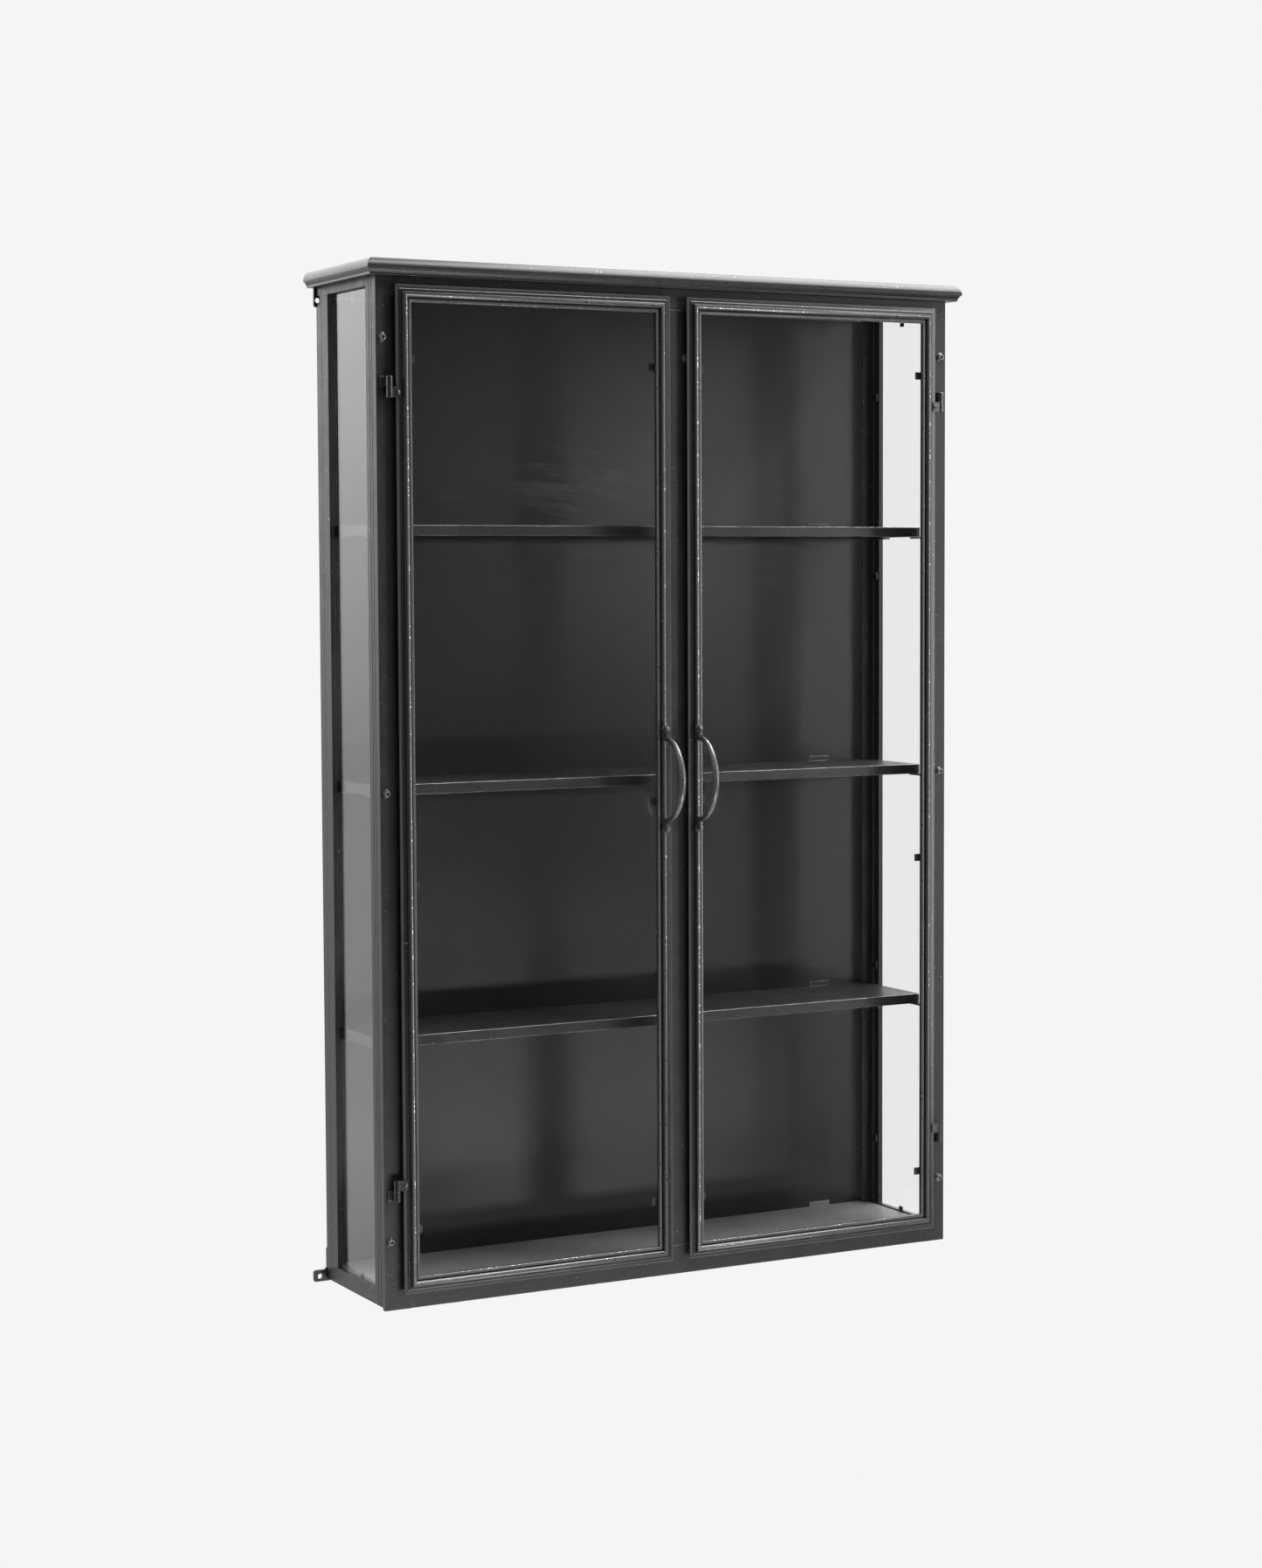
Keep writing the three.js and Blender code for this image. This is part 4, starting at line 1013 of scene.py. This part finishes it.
class SHOWCASE_OT_clips(bpy.types.Operator):
    """Set the folded clips behind each door's pane"""
    bl_idname = "showcase.clips"
    bl_label = "Glass clips"

    def execute(self, context):
        size = context.scene.showcase_sizes
        finish = context.scene.showcase_finish
        for label, side in SIDES.items():
            _, low, high = door_faces(label)
            back = high.y - CLIP_SEAT
            hinge_x, pull_x = (low.x, high.x) if side < 0 else (high.x, low.x)
            turn = 0 if side < 0 else math.pi
            top = high.z - low.z - TOP_CLIP
            points = [((hinge_x - side * size.moulding, back, low.z + level), (0, turn, 0))
                      for level in (LOW_CLIP, MIDDLE_HINGE_CLIP, top)]
            points += [((pull_x + side * size.moulding, back, low.z + level), (0, math.pi + turn, 0))
                       for level in (LOW_CLIP, MIDDLE_PULL_CLIP, top)]
            helper = object_of("clip pattern", self.clip_mesh())
            obj = grow(f"door_{label}_clips", "points", points_mesh("clips", points), {
                "Piece": helper, "Loose turn": 0.0, "Seed": finish.seed,
                "Finish": finish_of("satin paint")})
            remove_helper(helper)
            finish_piece(obj, f"door_{label}", "satin paint")
        return {"FINISHED"}

    def clip_mesh(self):
        """A strip that lies on the glass, with its free end folded over."""
        bm = bmesh.new()
        half = 0.0045
        sheet = 0.0011
        outline = [(-0.0105, 0.0), (0.0053, 0.0), (0.0062, -0.0003), (0.0065, -0.0009),
                   (0.0062, -0.0011), (0.0053, -sheet), (-0.0105, -sheet)]
        rings = [[bm.verts.new((x, y, z)) for x, y in outline] for z in (-half, half)]
        count = len(outline)
        for k in range(count):
            after = (k + 1) % count
            bm.faces.new((rings[0][k], rings[0][after], rings[1][after], rings[1][k]))
        bm.faces.new(rings[0])
        bm.faces.new(rings[1])
        bmesh.ops.recalc_face_normals(bm, faces=bm.faces)
        mesh = bpy.data.meshes.new("clip")
        bm.to_mesh(mesh)
        bm.free()
        return mesh


ARRIS = 0.0002  # ground edge of the panes


class SHOWCASE_OT_glass(bpy.types.Operator):
    """Polish the panes"""
    bl_idname = "showcase.glass"
    bl_label = "Panes"

    def execute(self, context):
        for label in SIDES:
            for node, body in ((f"side_glass_{label}", "carcass"),
                               (f"door_{label}_glass", f"door_{label}")):
                finish_nodes([node], ARRIS, body, "clear_glass", "pane glass")
        return {"FINISHED"}


# ---------------------------------------------------------------- studio

BRIGHTEST = 2.6  # brightest part of the backdrop's own light
BACK_LIGHT = [(-0.5, 0.3), (-0.2305, 0.34), (-0.2295, 0.2), (-0.142, 0.22), (-0.064, 0.27),
              (0.014, 0.59), (0.087, 0.95), (0.2, 1.0)]


class SHOWCASE_OT_studio(bpy.types.Operator):
    """Set the camera, the soft light, the backdrop and the floor"""
    bl_idname = "showcase.studio"
    bl_label = "Studio"

    def execute(self, context):
        self.camera(context.scene)
        self.world(context.scene)
        self.lights(context.scene)
        self.floor()
        context.scene.view_settings.view_transform = "Standard"
        return {"FINISHED"}

    def camera(self, scene):
        lens = bpy.data.cameras.new("studio camera")
        lens.sensor_fit = "HORIZONTAL"
        lens.sensor_width = 36
        lens.lens = 85.28
        lens.shift_y = -0.0095
        lens.clip_end = 60
        camera = bpy.data.objects.new("studio camera", lens)
        camera.location = (-1.73258, -3.29675, -0.33492)
        camera.rotation_euler = Euler([math.radians(a) for a in (86.2776, 0.2604, -28.1909)])
        scene.collection.objects.link(camera)
        scene.camera = camera

    def world(self, scene):
        """A plain backdrop behind, and a dimmer room in front for the steel to reflect."""
        world = bpy.data.worlds.new("studio")
        world.use_nodes = True
        scene.world = world
        tree = world.node_tree
        background = tree.nodes["Background"]
        direction = tree.nodes.new("ShaderNodeTexCoord").outputs["Generated"]
        split = tree.nodes.new("ShaderNodeSeparateXYZ")
        plug(tree, direction, split.inputs[0])
        behind = ramp(tree, split.outputs["Y"], -0.15, 0.55)
        shape = self.by_height(tree, split.outputs["Z"], BACK_LIGHT)
        back_light = maths(tree, "MULTIPLY", shape, BRIGHTEST)
        front_light = ramp(tree, split.outputs["Z"], 0.0, 0.8, 0.03, 0.4)
        mixed = maths(tree, "ADD", maths(tree, "MULTIPLY", behind, back_light),
                      maths(tree, "MULTIPLY", maths(tree, "SUBTRACT", 1.0, behind), front_light))
        rays = tree.nodes.new("ShaderNodeLightPath")
        plain = scene.showcase_studio.backdrop
        passed = maths(tree, "MULTIPLY", rays.outputs["Is Transmission Ray"], behind)
        seen = rays.outputs["Is Camera Ray"]
        hidden = maths(tree, "SUBTRACT", 1.0, maths(tree, "MAXIMUM", seen, passed))
        strength = maths(tree, "MAXIMUM", maths(tree, "MULTIPLY", seen, plain),
                         maths(tree, "MULTIPLY", passed, plain * scene.showcase_studio.through))
        strength = maths(tree, "ADD", strength, maths(tree, "MULTIPLY", hidden, mixed))
        plug(tree, strength, background.inputs["Strength"])
        background.inputs["Color"].default_value = (1, 1, 1, 1)

    def by_height(self, tree, rise, stops):
        """A brightness that follows how far a direction rises; stops are (rise, share of brightest)."""
        node = tree.nodes.new("ShaderNodeValToRGB")
        points = node.color_ramp.elements
        while len(points) < len(stops):
            points.new(0.5)
        for point, (height, share) in zip(points, stops):
            point.position = height + 0.5
            point.color = (share, share, share, 1)
        plug(tree, maths(tree, "ADD", rise, 0.5), node.inputs["Fac"])
        return node.outputs["Color"]

    def lights(self, scene):
        studio = scene.showcase_studio
        boxes = [
            ("overhead box", (1.2, -0.6, 1.6), (0.45, -0.35, 0.0), (2.0, 1.5), studio.overhead),
            ("side box", (2.65, -2.5, -0.5), (0.0, 0.0, -0.5), (1.0, 2.2), studio.side),
            ("low box", (0.4, -2.3, -2.4), (0.0, 0.0, -1.0), (1.8, 0.7), studio.low),
            ("glow high", (1.65, -3.0, -0.16), (0.03, 0.0, -0.24), (0.5, 0.2), 1.1 * studio.glow),
            ("glow low", (1.35, -3.0, -1.62), (0.0, 0.0, -1.0), (0.9, 0.2), 1.6 * studio.glow),
            ("glow patch", (1.95, -0.8, 1.65), (0.3, 0.0, -0.4), (0.4, 0.4), studio.patch),
        ]
        for name, place, target, (wide, tall), watts in boxes:
            lamp = bpy.data.lights.new(name, "AREA")
            lamp.shape = "RECTANGLE"
            lamp.size = wide
            lamp.size_y = tall
            lamp.energy = watts
            holder = bpy.data.objects.new(name, lamp)
            holder.location = place
            aim = Vector(target) - Vector(place)
            holder.rotation_euler = aim.to_track_quat("-Z", "Y").to_euler()
            scene.collection.objects.link(holder)
            if name.startswith("glow"):
                self.only_light(holder, ["back_panel"])
            if name in ("glow high", "glow low"):
                self.shaded_by(holder, ["shelf_lower", "shelf_middle", "shelf_upper", "bottom_panel"])
            if name == "side box":
                self.spare(holder, ["back_panel"])

    def gather(self, name, nodes):
        """A collection of the finished pieces of these nodes."""
        group = bpy.data.collections.new(name)
        for node in nodes:
            group.objects.link(bpy.data.objects[f"{node}_finished"])
        return group

    def spare(self, lamp, nodes):
        """Keeps a lamp off the pieces of these nodes."""
        unlit = self.gather(f"{lamp.name} receivers", nodes)
        for item in unlit.collection_objects:
            item.light_linking.link_state = "EXCLUDE"
        lamp.light_linking.receiver_collection = unlit

    def only_light(self, lamp, nodes):
        """Lets a lamp reach only the pieces of these nodes."""
        lamp.light_linking.receiver_collection = self.gather(f"{lamp.name} receivers", nodes)

    def shaded_by(self, lamp, nodes):
        """Lets only the pieces of these nodes cast the lamp's shadows."""
        lamp.light_linking.blocker_collection = self.gather(f"{lamp.name} blockers", nodes)

    def floor(self):
        """A round pale floor below the showcase, where it would hang at working height."""
        low, high = CAD_BOX
        bm = bmesh.new()
        bmesh.ops.create_circle(bm, cap_ends=True, radius=1.35, segments=96)
        mesh = mesh_of("floor", bm)
        floor = object_of("floor", mesh)
        floor.location = (0, 0, low[2] - 0.9)
        material = bpy.data.materials.new("pale floor")
        material.use_nodes = True
        shader = material.node_tree.nodes["Principled BSDF"]
        shader.inputs["Base Color"].default_value = (0.6, 0.6, 0.6, 1)
        shader.inputs["Roughness"].default_value = 0.8
        mesh.materials.append(material)


# ---------------------------------------------------------------- panel and registration

PIECES = [
    SHOWCASE_OT_face_frame, SHOWCASE_OT_side_frames, SHOWCASE_OT_rear_frame, SHOWCASE_OT_panels,
    SHOWCASE_OT_cornice, SHOWCASE_OT_door_frames, SHOWCASE_OT_clips, SHOWCASE_OT_handles,
    SHOWCASE_OT_hinges, SHOWCASE_OT_screws, SHOWCASE_OT_glass, SHOWCASE_OT_studio,
]


class SHOWCASE_PT_panel(bpy.types.Panel):
    """The showcase's pieces, sizes and finishes"""
    bl_label = "Wall showcase"
    bl_idname = "SHOWCASE_PT_panel"
    bl_space_type = "VIEW_3D"
    bl_region_type = "UI"
    bl_category = "Showcase"

    def draw(self, context):
        column = self.layout.column(align=True)
        for piece in PIECES:
            column.operator(piece.bl_idname)
        for group in (context.scene.showcase_sizes, context.scene.showcase_finish,
                      context.scene.showcase_studio):
            box = self.layout.box()
            for name in group.__annotations__:
                box.prop(group, name)


CLASSES = [ShowcaseSizes, ShowcaseFinish, ShowcaseStudio, *PIECES, SHOWCASE_PT_panel]


def register():
    for item in CLASSES:
        bpy.utils.register_class(item)
    bpy.types.Scene.showcase_sizes = PointerProperty(type=ShowcaseSizes)
    bpy.types.Scene.showcase_finish = PointerProperty(type=ShowcaseFinish)
    bpy.types.Scene.showcase_studio = PointerProperty(type=ShowcaseStudio)


def unregister():
    del bpy.types.Scene.showcase_studio
    del bpy.types.Scene.showcase_finish
    del bpy.types.Scene.showcase_sizes
    for item in reversed(CLASSES):
        bpy.utils.unregister_class(item)


def main():
    register()
    for piece in PIECES:
        area, action = piece.bl_idname.split(".")
        getattr(getattr(bpy.ops, area), action)()


if __name__ == "__main__":
    main()
